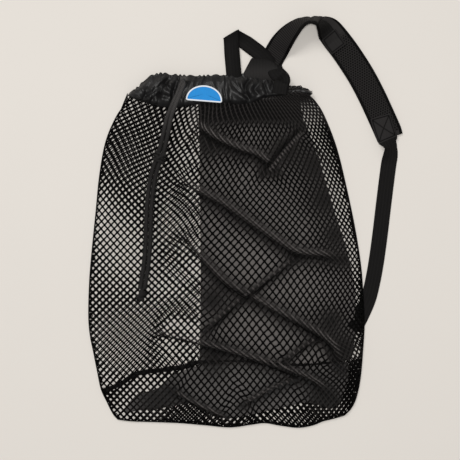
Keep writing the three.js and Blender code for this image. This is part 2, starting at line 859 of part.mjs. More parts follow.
// Base cloth folded flat inside the foot of the sack, and the binding over its seam

const innerLevel = clothThickness + clearance;
addPiece('base_panel', flatPiece(basePanelOutline.map(place), clothThickness, innerLevel), 'panel');

function routeFrames({ route, steps, section, from = 0, to = 1 }) {
  const curve = new THREE.SplineCurve(route.map(place));
  const frames = [];
  for (let step = 0; step <= steps; step += 1) {
    const share = lerp(from, to, step / steps);
    const point = curve.getPoint(share);
    const heading = curve.getTangent(share);
    const tilt = THREE.MathUtils.degToRad(columnAt(route, 'tilt', share) || 0);
    const flat = new THREE.Vector3(heading.y, -heading.x, 0);
    const across = flat.clone().multiplyScalar(Math.cos(tilt));
    across.z = Math.sin(tilt);
    const up = flat.clone().multiplyScalar(-Math.sin(tilt));
    up.z = Math.cos(tilt);
    const frame = { centre: new THREE.Vector3(point.x, point.y, 0), across, up };
    frames.push({ ...frame, ...section(share, frame, tilt) });
  }
  return frames;
}

const bindingRoute = [
  { across: -0.880, along: 0.1045 },
  ...baseSeam.slice(0, -1),
  { across: 0.850, along: 0.188 },
];
addPiece('base_binding', bandLoft(routeFrames({
  route: bindingRoute,
  steps: bindingSteps,
  section: (share, frame) => {
    frame.centre.z = innerLevel + bindingThickness / 2;
    return { section: flatSection(bindingWidth, bindingThickness) };
  },
})), 'webbing');

// Hem: a flattened ring of double cloth, gathered into ruffles by the drawcord

const ringFront = 46;
const ringEnd = 4;
const ringBack = 30;

// How far the ruffles reach towards the middle of a window that is kept calm
function windowShare(x, { middle, from, to }) {
  const away = Math.abs(x / (sackWidth / 2) - middle);
  return smooth(from, to, away);
}

function ruffleAt(x) {
  const phase = x / (sackWidth / 2) * Math.PI;
  return ruffleWaves.reduce((sum, wave) => (
    sum + wave.share * Math.sin(phase * wave.count + wave.phase)
  ), 0);
}

function ringPoint(place01, row) {
  const { kind, share } = place01;
  const last = hemFrontFoot.length - 1;
  const top = hemFrontTop.length - 1;
  const half = sackWidth / 2;
  const lowX = lerp(hemFrontFoot[0].across, hemFrontTop[0].across, row.share) * half;
  const highX = lerp(hemFrontFoot[last].across, hemFrontTop[top].across, row.share) * half;
  const height = lerp(hemHeight, hemHeight * hemClosing, row.close);
  const radius = height / 2;
  const yFront = (x) => lerp(alongAt(hemFrontFoot, x), alongAt(hemFrontTop, x), row.share);
  const yBack = (x) => lerp(alongAt(hemBackFoot, x), alongAt(hemBackTop, x), row.share);
  if (kind === 'front') {
    const x = lerp(lowX + radius, highX - radius, share);
    const calm = windowShare(x, labelWindow) * windowShare(x, tabWindow);
    const ruffle = hemRuffle * row.ruffle * ruffleAt(x) * calm;
    const z = height + hemPuff * row.puff + ruffle;
    return { point: new THREE.Vector3(x, yFront(x), z), out: new THREE.Vector3(0, 0, 1) };
  }
  if (kind === 'back') {
    const x = lerp(highX - radius, lowX + radius, share);
    return { point: new THREE.Vector3(x, yBack(x), 0), out: new THREE.Vector3(0, 0, -1) };
  }
  const right = kind === 'right';
  const angle = lerp(Math.PI / 2, -Math.PI / 2, right ? share : 1 - share);
  const side = right ? 1 : -1;
  const turnX = right ? highX - radius : lowX + radius;
  const x = turnX + side * radius * Math.cos(angle);
  const z = radius + radius * Math.sin(angle);
  const y = lerp(yBack(x), yFront(x), (1 + Math.sin(angle)) / 2);
  const out = new THREE.Vector3(side * Math.cos(angle), 0, Math.sin(angle));
  return { point: new THREE.Vector3(x, y, z), out };
}

function hemRing() {
  const stations = [];
  for (let n = 0; n < ringFront; n += 1) stations.push({ kind: 'front', share: n / ringFront });
  for (let n = 0; n < ringEnd; n += 1) stations.push({ kind: 'right', share: n / ringEnd });
  for (let n = 0; n < ringBack; n += 1) stations.push({ kind: 'back', share: n / ringBack });
  for (let n = 0; n < ringEnd; n += 1) stations.push({ kind: 'left', share: n / ringEnd });
  const lower = [];
  const upper = [];
  const faces = [];
  const across = hemRows.length;
  stations.forEach((station, n) => {
    const next = ((n + 1) % stations.length) * across;
    hemRows.forEach((row, m) => {
      const { point, out } = ringPoint(station, row);
      upper.push(point);
      lower.push(point.clone().addScaledVector(out, -hemThickness));
      if (m === across - 1) return;
      const here = n * across + m;
      faces.push([here, next + m, next + m + 1]);
      faces.push([here, next + m + 1, here + 1]);
    });
  });
  return thicken(lower, upper, faces);
}
addPiece('hem_channel', hemRing(), 'nylon');

// Label on the front of the hem: a half-moon with a short skirt

const hemCrest = hemHeight + hemPuff;
const labelShape = new THREE.Shape();
labelShape.absellipse(0, 0, labelWidth / 2, labelRise, Math.PI, 0, true);
labelShape.lineTo(labelWidth / 2 - labelSkirt, -labelSkirt);
labelShape.lineTo(labelSkirt - labelWidth / 2, -labelSkirt);
const labelGeometry = new THREE.ExtrudeGeometry(labelShape, {
  depth: labelThickness,
  bevelEnabled: false,
  curveSegments: labelSides,
});
const label = addPiece('hem_label', labelGeometry, 'label');
const labelSpot = place(labelPlace);
label.position.set(labelSpot.x, labelSpot.y, hemCrest + clearance);
label.rotation.z = THREE.MathUtils.degToRad(labelPlace.turn);

// Padded strap, its webbing overlay and patch

function padSection(share) {
  const width = padWidth * columnAt(padRoute, 'width', share);
  const thickness = padThickness * columnAt(padRoute, 'thickness', share);
  return { width, thickness };
}

function padFrames(steps, from, to, section) {
  return routeFrames({
    route: padRoute,
    steps,
    from,
    to,
    section: (share, frame, tilt) => {
      const { width, thickness } = padSection(share);
      frame.centre.z = width / 2 * Math.sin(tilt) + thickness / 2 * Math.cos(tilt);
      return section(share, frame, width, thickness);
    },
  });
}

const overlayMiddle = padOverlay.offset * padWidth;
const overlayEdges = [overlayMiddle + webbingWidth / 2, overlayMiddle - webbingWidth / 2];
addPiece('shoulder_pad', loft(padFrames(padSteps, 0, 1, (share, frame, width, thickness) => (
  { section: softSection(width, thickness, overlayEdges) }
))), 'pad');

function onPad({ fromStep, toStep }, width, lift) {
  const [from, to] = [fromStep / padSteps, toStep / padSteps];
  return bandLoft(padFrames(toStep - fromStep, from, to, (share, frame, padAcross, padDeep) => {
    const centre = frame.centre.clone();
    centre.addScaledVector(frame.up, padDeep / 2 + lift + padOverlayThickness / 2);
    centre.addScaledVector(frame.across, overlayMiddle);
    return { centre, section: flatSection(width, padOverlayThickness) };
  }));
}

addPiece('pad_webbing', onPad(padOverlay, webbingWidth, padLap), 'webbing');
addPiece('pad_patch', onPad(
  padPatchSteps, webbingWidth + padPatchMargin, padOverlayThickness + padLap * 2,
), 'webbing');

// Webbing from the pad to the foot of the panel, cut along the panel's edge

const strapFrames = routeFrames({
  route: strapRoute,
  steps: strapSteps,
  section: (share, frame, tilt) => {
    const lift = columnAt(strapRoute, 'lift', share) * (padThickness + clearance * 2);
    const rise = webbingWidth / 2 * Math.sin(tilt) + webbingThickness / 2 * Math.cos(tilt);
    frame.centre.z = lift + rise;
    return { section: flatSection(webbingWidth, webbingThickness - 2 * halfGap) };
  },
});
const cutterOutline = panelOutline.map((p) => p.clone().add(new THREE.Vector2(clearance, 0)));
const panelCutter = flatPiece(cutterOutline, webbingWidth, -webbingWidth / 2);
const strapBody = toManifold(bandLoft(strapFrames)).subtract(toManifold(panelCutter));
addPiece('strap_webbing', fromManifold(strapBody), 'webbing');

// Grab handle

function crossAxis(degrees) {
  const angle = THREE.MathUtils.degToRad(degrees);
  return new THREE.Vector3(Math.cos(angle), Math.sin(angle), 0);
}

const up = new THREE.Vector3(0, 0, 1);
const creaseLow = webbingThickness / 2 + clearance;
const creaseMiddle = (handleLevel + creaseLow) / 2;
const creaseRadius = (handleLevel - creaseLow) / 2;
const creaseCross = crossAxis(handleCrease.cross);
const creaseOut = new THREE.Vector3(-creaseCross.y, creaseCross.x, 0);
const creaseStretch = 1 / Math.cos(THREE.MathUtils.degToRad(handleCrease.cross));

function handleFrame(row, facing) {
  const { x, y } = place(row);
  return {
    centre: new THREE.Vector3(x, y, row.level * handleLevel),
    across: crossAxis(row.cross),
    up: up.clone().multiplyScalar(facing),
    section: flatSection(webbingWidth, webbingThickness),
  };
}

function creaseFrame(degrees) {
  const angle = THREE.MathUtils.degToRad(degrees);
  const out = creaseOut.clone().multiplyScalar(Math.cos(angle)).addScaledVector(up, Math.sin(angle));
  const { x, y } = place(handleCrease);
  const centre = new THREE.Vector3(x, y, creaseMiddle).addScaledVector(out, creaseRadius);
  const section = flatSection(webbingWidth * creaseStretch, webbingThickness);
  return { centre, across: creaseCross, up: out, section };
}

addPiece('grab_handle', bandLoft([
  ...handleRise.map((row) => handleFrame(row, 1)),
  ...creaseTurns.map(creaseFrame),
  ...handleReturn.map((row) => handleFrame(row, -1)),
]), 'webbing');

const anchorLevel = handleLevel * handleUnder + webbingThickness / 2 + clearance;
addPiece('strap_anchor', flatPiece(anchorOutline.map(place), anchorThickness, anchorLevel), 'webbing');

addPiece('hem_tab', bandLoft(routeFrames({
  route: tabRoute,
  steps: tabRoute.length - 1,
  section: (share, frame) => {
    frame.centre.z = columnAt(tabRoute, 'level', share) * hemHeight;
    return { section: flatSection(webbingWidth, webbingThickness) };
  },
})), 'webbing');

// Drawcord: two free strands through a hitch, with a knot at their ends

function cordTube(points) {
  const path = new THREE.CatmullRomCurve3(points.map((p) => new THREE.Vector3(...p)));
  const outline = new THREE.Shape();
  outline.absarc(0, 0, cordDiameter / 2, 0, Math.PI * 2);
  return new THREE.ExtrudeGeometry(outline, {
    extrudePath: path,
    steps: cordSteps,
    curveSegments: cordSides,
    bevelEnabled: false,
  });
}

addPiece('drawcord_left', cordTube(leftCordPoints), 'cord');
addPiece('drawcord_right', cordTube(rightCordPoints), 'cord');

function alongCord(geometry, { x, y, z, heading }) {
  geometry.rotateZ(THREE.MathUtils.degToRad(heading - 90));
  return geometry.translate(x, y, z);
}

const hitch = new THREE.Shape();
hitch.absellipse(0, 0, knotWidth / 2, knotDepth / 2, 0, Math.PI * 2);
const hitchHole = new THREE.Path();
const holeWidth = cordDiameter * 2 + knotSlack;
const holeDepth = cordDiameter + knotSlack;
hitchHole.absellipse(0, 0, holeWidth / 2, holeDepth / 2, 0, Math.PI * 2);
hitch.holes.push(hitchHole);
const hitchGeometry = new THREE.ExtrudeGeometry(hitch, {
  depth: knotLength,
  bevelEnabled: false,
  curveSegments: hitchSides,
});
hitchGeometry.translate(0, 0, -knotLength / 2).rotateX(Math.PI / 2);
addPiece('cord_hitch', alongCord(hitchGeometry, knotPlace), 'cord');

const knotProfile = [];
for (let row = 0; row <= endKnotRows; row += 1) {
  const angle = lerp(-Math.PI / 2, Math.PI / 2, row / endKnotRows);
  const onAxis = row === 0 || row === endKnotRows;
  const radius = onAxis ? 0 : endKnotWidth / 2 * Math.cos(angle) ** endKnotRoundness;
  knotProfile.push(new THREE.Vector2(radius, endKnotLength / 2 * Math.sin(angle)));
}
const endKnot = new THREE.LatheGeometry(knotProfile, endKnotSides);
endKnot.scale(1, 1, endKnotDepth / endKnotWidth);
addPiece('cord_end_knot', alongCord(endKnot, endKnotPlace), 'cord');

// Origin at the bottom centre of the bag without its cord

const box = new THREE.Box3();
for (const mesh of group.children) {
  if (mesh.name.startsWith('drawcord') || mesh.name.startsWith('cord')) continue;
  mesh.updateMatrixWorld();
  box.expandByObject(mesh);
}
const middle = box.getCenter(new THREE.Vector3());
group.position.set(-middle.x, -middle.y, -box.min.z);

export default group;
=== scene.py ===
"""Looks of a drawstring mesh gear bag that lies on a pale floor, mouth towards +Y."""

import math
from collections import namedtuple

import bpy
import numpy as np
from bpy.props import FloatProperty, FloatVectorProperty, IntProperty, PointerProperty
from bpy.types import Operator, Panel, PropertyGroup
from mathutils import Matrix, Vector
from mathutils.geometry import delaunay_2d_cdt


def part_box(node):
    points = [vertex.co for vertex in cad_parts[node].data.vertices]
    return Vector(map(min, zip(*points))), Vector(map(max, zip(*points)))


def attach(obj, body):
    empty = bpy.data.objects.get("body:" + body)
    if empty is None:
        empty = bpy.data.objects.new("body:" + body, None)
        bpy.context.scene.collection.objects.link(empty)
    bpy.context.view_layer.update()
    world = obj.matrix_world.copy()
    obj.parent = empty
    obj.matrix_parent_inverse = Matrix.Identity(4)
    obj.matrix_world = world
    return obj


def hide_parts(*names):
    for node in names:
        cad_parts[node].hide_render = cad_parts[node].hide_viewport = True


bl_info = {
    "name": "Mesh gear bag",
    "version": (1, 0, 0),
    "blender": (4, 5, 0),
    "location": "3D View > Sidebar > Gear bag",
    "description": "Dresses the frame of a drawstring mesh bag with net, cloth, webbing and cord",
    "category": "Object",
}

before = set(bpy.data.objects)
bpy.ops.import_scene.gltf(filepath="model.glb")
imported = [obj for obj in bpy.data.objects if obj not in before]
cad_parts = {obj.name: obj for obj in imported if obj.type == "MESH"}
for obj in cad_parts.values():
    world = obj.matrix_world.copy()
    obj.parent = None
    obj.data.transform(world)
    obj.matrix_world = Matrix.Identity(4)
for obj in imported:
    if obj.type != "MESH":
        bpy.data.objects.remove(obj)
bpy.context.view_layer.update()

# Named sizes of the frame, in metres
SACK_WIDTH = 0.550
SACK_LENGTH = 0.706
SACK_LOFT = 0.024
FOLD_HEIGHT = 0.011
NET_THICKNESS = 0.002
CLEARANCE = 0.0003
HEM_HEIGHT = 0.028
HEM_PUFF = 0.003
NET_TUCK = 0.006
TUCK_RISE = 0.009
WEBBING_WIDTH = 0.031
WEBBING_THICKNESS = 0.002
HANDLE_LEVEL = 0.006
PAD_WIDTH = 0.055
PAD_THICKNESS = 0.009
CORD_DIAMETER = 0.008
HALF_WIDTH = SACK_WIDTH / 2
UP = np.array([0, 0, 1.0])

# How the net lies, in metres: drift of the flat cloth, fullness of its right side, width of
# the line under a fold (its pull, and the painted shadow line there) and reach of a fold
FLAT_DRIFT = 0.0016
FLAT_SEED = 3
RIGHT_FULLNESS = 0.045
EDGE_WIDTH = 0.0042
TUCK_REACH = 0.060
# Levels of the back net, of the edge that turns under and of the roll along it
BACK_LEVEL = 0.0010
EDGE_LEVEL = 0.0024
ROLL_LEVEL = 0.0028
ROLL_RADIUS = 0.0013
# Thicknesses, and the stitches' distance from an edge and width
CLOTH_THICKNESS = 0.0010
HEM_CLOTH = 0.0016
BAND_THICKNESS = 0.0018
PAD_BAND_THICKNESS = 0.0016
STITCH_INSET = 0.0032
STITCH_WIDTH = 0.0011
# Part of the way back under that an edge turns
TURN_BACK = 0.8

# Steps of the meshes
CORD_SIDES = 16
STRAND_STEPS = 260
KNOT_SIDES = 12
TAIL_SIDES = 10
HEM_ROWS = 26
HEM_FRONT = 460
HEM_END = 16
HEM_BACK = 90
PAD_STEPS = 620
PAD_TOP = 61
PAD_LOW = 17

# Tones, as factors of a cloth's own colour: painted highlights and lighter patches (the lit ones),
# and painted shade and stitches (the dark one)
LIT_STRAND = 85.0
LIT_CLOTH = 5.0
SHADE_AND_STITCH_TONE = 0.02

# Outlines from the foot to the hem: shares of the half width and of the length
LEFT_SIDE = [
    (-0.789, 0.023), (-0.825, 0.040), (-0.869, 0.074), (-0.909, 0.108), (-0.938, 0.161),
    (-0.964, 0.212), (-0.989, 0.261), (-1.000, 0.317), (-0.993, 0.416), (-0.975, 0.501),
    (-0.949, 0.601), (-0.920, 0.714), (-0.876, 0.807), (-0.804, 0.875), (-0.736, 0.914),
    (-0.700, 0.936), (-0.684, 0.946),
]
RIGHT_SIDE = [
    (0.855, 0.034), (0.905, 0.054), (0.942, 0.085), (0.971, 0.139), (0.989, 0.218),
    (1.000, 0.297), (0.989, 0.388), (0.971, 0.467), (0.927, 0.572), (0.865, 0.686),
    (0.796, 0.793), (0.710, 0.880), (0.650, 0.919), (0.609, 0.936), (0.589, 0.948),
]
FOOT = [
    (-0.789, 0.023), (-0.687, 0.018), (-0.520, 0.016), (-0.338, 0.013), (-0.156, 0.007),
    (0.025, 0.001), (0.171, 0.008), (0.280, 0.013), (0.389, 0.006), (0.520, 0.000),
    (0.622, 0.006), (0.702, 0.018), (0.775, 0.025), (0.855, 0.034),
]
HEM_FRONT_FOOT = [
    (-0.720, 0.938), (-0.658, 0.926), (-0.571, 0.915), (-0.484, 0.905), (-0.375, 0.902),
    (-0.265, 0.908), (-0.156, 0.916), (-0.011, 0.915), (0.098, 0.912), (0.185, 0.916),
    (0.273, 0.931), (0.375, 0.936), (0.476, 0.939), (0.625, 0.944),
]
HEM_BACK_FOOT = [
    (-0.720, 0.938), (-0.629, 0.926), (-0.411, 0.921), (-0.193, 0.921), (0.098, 0.922),
    (0.389, 0.928), (0.535, 0.935), (0.625, 0.944),
]
HEM_FRONT_TOP = [
    (-0.702, 0.946), (-0.636, 0.963), (-0.593, 0.982), (-0.535, 0.996), (-0.469, 1.001),
    (-0.396, 0.997), (-0.302, 0.994), (-0.193, 0.993), (-0.091, 0.996), (0.098, 0.990),
    (0.207, 0.986), (0.316, 0.980), (0.404, 0.970), (0.469, 0.963), (0.535, 0.963),
    (0.607, 0.952),
]
HEM_BACK_TOP = [
    (-0.702, 0.946), (-0.636, 0.961), (-0.535, 0.990), (-0.396, 0.994), (-0.091, 0.994),
    (0.098, 1.001), (0.229, 1.004), (0.353, 0.999), (0.411, 0.990), (0.447, 0.969),
    (0.505, 0.961), (0.607, 0.952),
]
BASE_SEAM = [
    (-0.909, 0.104), (-0.825, 0.110), (-0.767, 0.123), (-0.716, 0.137), (-0.658, 0.150),
    (-0.571, 0.158), (-0.484, 0.161), (-0.396, 0.166), (-0.309, 0.171), (-0.215, 0.183),
    (0.098, 0.187), (0.535, 0.176), (0.789, 0.187), (0.985, 0.200),
]
PANEL_LEFT = [
    (-0.200, 0.185), (-0.193, 0.246), (-0.189, 0.360), (-0.189, 0.501), (-0.193, 0.643),
    (-0.196, 0.785), (-0.207, 0.920),
]
PANEL_RIGHT = [
    (0.912, 0.195), (0.942, 0.275), (0.942, 0.360), (0.920, 0.431), (0.876, 0.501),
    (0.818, 0.572), (0.760, 0.643), (0.695, 0.728), (0.622, 0.813), (0.556, 0.875),
    (0.524, 0.930),
]

# Broad folds of the front net: from, via, to, rise and half width, as shares
SWELLS = [
    ((-0.20, 0.87), (0.16, 0.79), (0.36, 0.73), 0.75, 0.065),
    ((0.32, 0.72), (0.44, 0.79), (0.54, 0.83), 0.50, 0.050),
    ((-0.42, 0.73), (0.10, 0.58), (0.88, 0.48), 1.00, 0.075),
    ((-0.49, 0.60), (0.05, 0.35), (0.84, 0.20), 0.95, 0.080),
    ((0.52, 0.49), (0.20, 0.38), (-0.16, 0.28), -0.55, 0.055),
    ((-0.60, 0.26), (0.20, 0.25), (0.78, 0.10), 0.80, 0.070),
    ((0.46, 0.20), (0.56, 0.24), (0.66, 0.27), 0.40, 0.045),
    ((-0.02, 0.18), (0.40, 0.15), (0.80, 0.06), -0.45, 0.055),
    ((0.17, 0.08), (0.30, 0.11), (0.46, 0.14), 0.50, 0.045),
    ((-0.34, 0.10), (-0.12, 0.06), (0.08, 0.03), 0.40, 0.045),
    ((-0.70, 0.74), (-0.82, 0.52), (-0.80, 0.34), 0.45, 0.080),
    ((-0.30, 0.52), (-0.42, 0.40), (-0.72, 0.32), -0.40, 0.070),
]

# Folds of the net: route in shares, half width of the drawn-in band, how much cloth it
# takes, the sharp line at its lower edge, the rise and the side of the rise (1 is left)
Tuck = namedtuple("Tuck", "route width depth edge rise lean")
TUCKS = [
    Tuck([(-0.23, 0.872), (-0.084, 0.827), (0.098, 0.793), (0.229, 0.776), (0.353, 0.742)],
         0.013, 0.0088, 0.0060, 0.009, 1),
    Tuck([(-0.411, 0.722), (-0.193, 0.674), (-0.011, 0.637), (0.171, 0.589), (0.353, 0.541),
          (0.513, 0.504), (0.680, 0.496), (0.845, 0.486)],
         0.014, 0.0092, 0.0065, 0.010, 1),
    Tuck([(-0.40, 0.578), (-0.193, 0.496), (-0.011, 0.422), (0.171, 0.380), (0.425, 0.326),
          (0.607, 0.289), (0.775, 0.241), (0.850, 0.175)],
         0.013, 0.0088, 0.0065, 0.010, 1),
    Tuck([(0.513, 0.490), (0.353, 0.439), (0.171, 0.388), (0.098, 0.365), (-0.156, 0.280)],
         0.008, 0.0052, 0.0055, 0.004, -1),
    Tuck([(-0.60, 0.285), (-0.40, 0.265), (-0.193, 0.246), (0.025, 0.224), (0.244, 0.198),
          (0.462, 0.170), (0.644, 0.139), (0.775, 0.096)],
         0.013, 0.0085, 0.0060, 0.009, 1),
    Tuck([(0.420, 0.195), (0.530, 0.228), (0.651, 0.255)],
         0.007, 0.0045, 0.0050, 0.004, 1),
    Tuck([(0.120, 0.070), (0.302, 0.110), (0.500, 0.142)],
         0.009, 0.0060, 0.0050, 0.005, 1),
    Tuck([(-0.380, 0.108), (-0.193, 0.068), (0.000, 0.034)],
         0.009, 0.0060, 0.0050, 0.004, 1),
    Tuck([(0.290, 0.715), (0.425, 0.780), (0.560, 0.840)],
         0.009, 0.0060, 0.0045, 0.005, -1),
]
# Places where the net is turned in its own plane: middle and reach as shares, degrees
TWISTS = [
    ((-0.64, 0.78), 0.34, -17.0),
    ((0.90, 0.23), 0.22, 12.0),
    ((0.05, 0.88), 0.20, 10.0),
]

# Deep creases of the hem: route in shares, depth
HEM_CREASES = [
    ([(0.180, 0.985), (0.135, 0.960), (0.170, 0.922)], 0.0060),
    ([(-0.018, 0.990), (-0.012, 0.955), (-0.006, 0.915)], 0.0055),
    ([(0.030, 0.975), (0.085, 0.950), (0.140, 0.935)], 0.0045),
    ([(0.262, 0.977), (0.285, 0.955), (0.300, 0.938)], 0.0050),
    ([(-0.420, 0.985), (-0.470, 0.955), (-0.490, 0.920)], 0.0055),
    ([(-0.340, 0.990), (-0.380, 0.950), (-0.390, 0.915)], 0.0050),
    ([(-0.560, 0.965), (-0.585, 0.945), (-0.600, 0.925)], 0.0040),
    ([(-0.600, 0.935), (-0.520, 0.950), (-0.455, 0.975)], 0.0050),
    ([(-0.545, 0.922), (-0.490, 0.938), (-0.400, 0.930)], 0.0045),
    ([(-0.400, 0.985), (-0.440, 0.968), (-0.380, 0.945)], 0.0045),
    ([(0.160, 0.928), (0.120, 0.945), (0.060, 0.982)], 0.0045),
    ([(0.235, 0.940), (0.205, 0.955), (0.250, 0.972)], 0.0040),
]
# The hem's cloth bunches over the place where the cord comes out, in metres
CORD_EXIT = (-0.0846, 0.6905)
EXIT_BULGE = 0.0130
EXIT_REACH = 0.0100
# Places of painted shade on the cloth under the net: middles as shares, reach in metres
PAINTED_SHADE_PLACES = [
    (0.425, 0.785, 0.035), (0.644, 0.742, 0.038), (0.716, 0.643, 0.036), (0.789, 0.544, 0.030),
    (-0.505, 0.074, 0.050), (0.695, 0.079, 0.038), (0.869, 0.224, 0.034), (-0.105, 0.360, 0.036),
    (-0.120, 0.800, 0.030), (0.760, 0.300, 0.030), (-0.090, 0.190, 0.034),
]

# Middle line of the padded strap: place, width and thickness as shares, tilt in degrees
PAD_ROUTE = [
    (0.320, 1.031, 0.80, 0.30, 0), (0.342, 1.048, 0.82, 0.30, 0), (0.371, 1.068, 0.83, 0.42, 4),
    (0.404, 1.089, 0.84, 0.90, 18), (0.451, 1.112, 0.86, 1.00, 36), (0.513, 1.135, 0.92, 1.00, 58),
    (0.560, 1.145, 1.00, 1.00, 70), (0.604, 1.149, 1.00, 1.00, 74), (0.655, 1.147, 1.00, 1.00, 68),
    (0.698, 1.138, 1.00, 1.00, 44), (0.742, 1.123, 1.00, 1.00, 14), (0.796, 1.098, 1.00, 1.00, 0),
    (0.855, 1.068, 1.00, 1.00, 0), (0.913, 1.035, 1.00, 1.00, 0), (0.985, 0.990, 1.00, 1.00, 0),
    (1.055, 0.938, 1.00, 1.00, 0), (1.116, 0.887, 1.00, 1.00, 0), (1.171, 0.839, 1.00, 0.85, 0),
    (1.189, 0.819, 0.96, 0.55, 0),
]
# Webbing from the pad to the foot of the panel: place, lift as a share, tilt in degrees
STRAP_ROUTE = [
    (1.115, 0.880, 1, 0), (1.135, 0.853, 1, 0), (1.157, 0.827, 1, 0), (1.178, 0.807, 0.55, 14),
    (1.194, 0.790, 0, 34), (1.191, 0.769, 0, 16), (1.179, 0.743, 0, 0), (1.160, 0.686, 0, 0),
    (1.142, 0.629, 0, 0), (1.116, 0.544, 0, 0), (1.091, 0.473, 0, 0), (1.065, 0.416, 0, 0),
    (1.033, 0.365, 0, 0), (0.985, 0.320, 0, 0), (0.927, 0.275, 0, 0),
]
# Grab handle: place, level as a share of its height, direction of its width in degrees
HANDLE_RISE = [
    (0.065, 0.950, 1, 0), (0.058, 0.983, 1, 0), (0.051, 1.011, 1, 0), (0.042, 1.051, 1, 3),
    (0.037, 1.083, 1, 12),
]
HANDLE_CREASE = (0.036, 1.110, 30.7)
HANDLE_RETURN = [
    (0.138, 1.089, 0.42, 45), (0.229, 1.062, 0.72, 52), (0.287, 1.040, 0.72, 50),
    (0.320, 1.022, 0.72, 48),
]
TAB_ROUTE = [
    (0.347, 1.021, 0.14), (0.360, 1.004, 0.34), (0.385, 0.994, 0.42), (0.405, 0.983, 0.82),
    (0.400, 0.972, 1.10), (0.392, 0.960, 1.175), (0.384, 0.940, 1.175),
]
LABEL_PLACE = (-0.162, 0.9235)
LABEL_TURN = -4.5
# Part of the hem that the net is drawn up over
RUFFLE = (0.425, 0.612)
# Width and length of the stitched end of the strap's webbing
END_PATCH = (0.041, 0.050)
PATCH_WIDTH = WEBBING_WIDTH + 0.005
PAD_EDGE_TAPE = 0.0045

# Routes of the two drawcord strands, in metres from the middle of the sack's foot
LEFT_CORD = [
    (-0.087, 0.690, 0.034), (-0.091, 0.680, 0.0352), (-0.097, 0.665, 0.0359),
    (-0.104, 0.650, 0.0358), (-0.112, 0.632, 0.0336), (-0.119, 0.614, 0.0302),
    (-0.1235, 0.594, 0.0316), (-0.1275, 0.574, 0.040), (-0.1315, 0.556, 0.0456),
    (-0.137, 0.538, 0.0466), (-0.144, 0.520, 0.0462), (-0.150, 0.498, 0.0418),
    (-0.154, 0.474, 0.0398), (-0.157, 0.444, 0.0412), (-0.1585, 0.414, 0.0415),
    (-0.1595, 0.384, 0.038), (-0.161, 0.354, 0.0366), (-0.164, 0.324, 0.0342),
    (-0.168, 0.298, 0.0338), (-0.1715, 0.277, 0.0363),
]
RIGHT_CORD = [
    (-0.083, 0.686, 0.0414), (-0.087, 0.676, 0.0424), (-0.093, 0.661, 0.0432),
    (-0.0995, 0.646, 0.043), (-0.106, 0.629, 0.041), (-0.111, 0.612, 0.0348),
    (-0.1145, 0.593, 0.0326), (-0.1185, 0.573, 0.040), (-0.1225, 0.555, 0.0456),
    (-0.128, 0.537, 0.0466), (-0.135, 0.519, 0.0462), (-0.141, 0.497, 0.0426),
    (-0.145, 0.473, 0.0404), (-0.148, 0.444, 0.0424), (-0.1495, 0.414, 0.0424),
    (-0.1505, 0.384, 0.0388), (-0.152, 0.354, 0.0374), (-0.155, 0.324, 0.0348),
    (-0.159, 0.298, 0.034), (-0.1625, 0.277, 0.0363),
]
# Places of the knots, and the direction of their strands in degrees
HITCH = ((-0.1326, 0.5376, 0.0464), 250.0)
END_KNOT = ((-0.1694, 0.265, 0.0367), 257.0)

# Middle of the sack's foot in the row frame, found from the base cloth's lowest corner
BASE_CORNER = (-0.738, 0.037)
LOW_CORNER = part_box("base_panel")[0]
ORIGIN = np.array([
    LOW_CORNER.x - BASE_CORNER[0] * HALF_WIDTH, LOW_CORNER.y - BASE_CORNER[1] * SACK_LENGTH, 0.0,
])


# Numbers and curves

def place(rows):
    """Shares of the half width and the length as points in metres."""
    return np.asarray(rows, float)[:, :2] * (HALF_WIDTH, SACK_LENGTH)


def ramp(low, high, value):
    share = np.clip((np.asarray(value, float) - low) / (high - low), 0, 1)
    return share * share * (3 - 2 * share)


def mix(a, b, share):
    return a + (b - a) * share


def unit(vectors):
    return vectors / np.maximum(np.linalg.norm(vectors, axis=-1, keepdims=True), 1e-12)


def spline(points, shares):
    """Smooth curve through the points, at shares of their row."""
    p = np.asarray(points, float)
    padded = np.vstack([p[:1], p, p[-1:]])
    t = np.clip(np.asarray(shares, float), 0, 1) * (len(p) - 1)
    i = np.minimum(t.astype(int), len(p) - 2)
    f = (t - i)[:, None]
    p0, p1, p2, p3 = padded[i], padded[i + 1], padded[i + 2], padded[i + 3]
    v0, v1 = (p2 - p0) / 2, (p3 - p1) / 2
    cubic, square = 2 * p1 - 2 * p2 + v0 + v1, -3 * p1 + 3 * p2 - 2 * v0 - v1
    return cubic * f**3 + square * f**2 + v0 * f + p1


def run_along(line):
    """How far along the line each of its points lies."""
    return np.r_[0, np.cumsum(np.linalg.norm(np.diff(line, axis=0), axis=1))]


def even(points, count):
    """Evenly spaced points on the smooth curve through the points."""
    fine = spline(points, np.linspace(0, 1, max(count * 4, 200)))
    run = run_along(fine)
    at = np.linspace(0, run[-1], count)
    return np.stack([np.interp(at, run, fine[:, k]) for k in range(fine.shape[1])], axis=1)


def bell(value, reach):
    return np.exp(-(value / reach) ** 2)


def faded(along, share):
    """1 along a route, down to 0 over the share at each of its ends."""
    return ramp(0, share, along) * ramp(0, share, 1 - along)


def left_of(directions):
    """Directions in the plane, a quarter turned to the left."""
    return np.stack([-directions[:, 1], directions[:, 0]], axis=1)


def turned(x, y, angle):
    """Points turned in the plane, as rows."""
    c, s = np.cos(angle), np.sin(angle)
    return np.stack([x * c - y * s, x * s + y * c], axis=1)


def column(rows, index, shares):
    values = np.asarray([row[index] for row in rows], float)
    return np.interp(np.asarray(shares) * (len(rows) - 1), np.arange(len(rows)), values)


def inside(points, polygon):
    """Which points lie in the polygon."""
    x, y = points[:, 0], points[:, 1]
    found = np.zeros(len(points), bool)
    for (ax, ay), (bx, by) in zip(polygon, np.roll(polygon, -1, axis=0)):
        if ay == by:
            continue
        crosses = (ay > y) != (by > y)
        found ^= crosses & (x < (bx - ax) * (y - ay) / (by - ay) + ax)
    return found


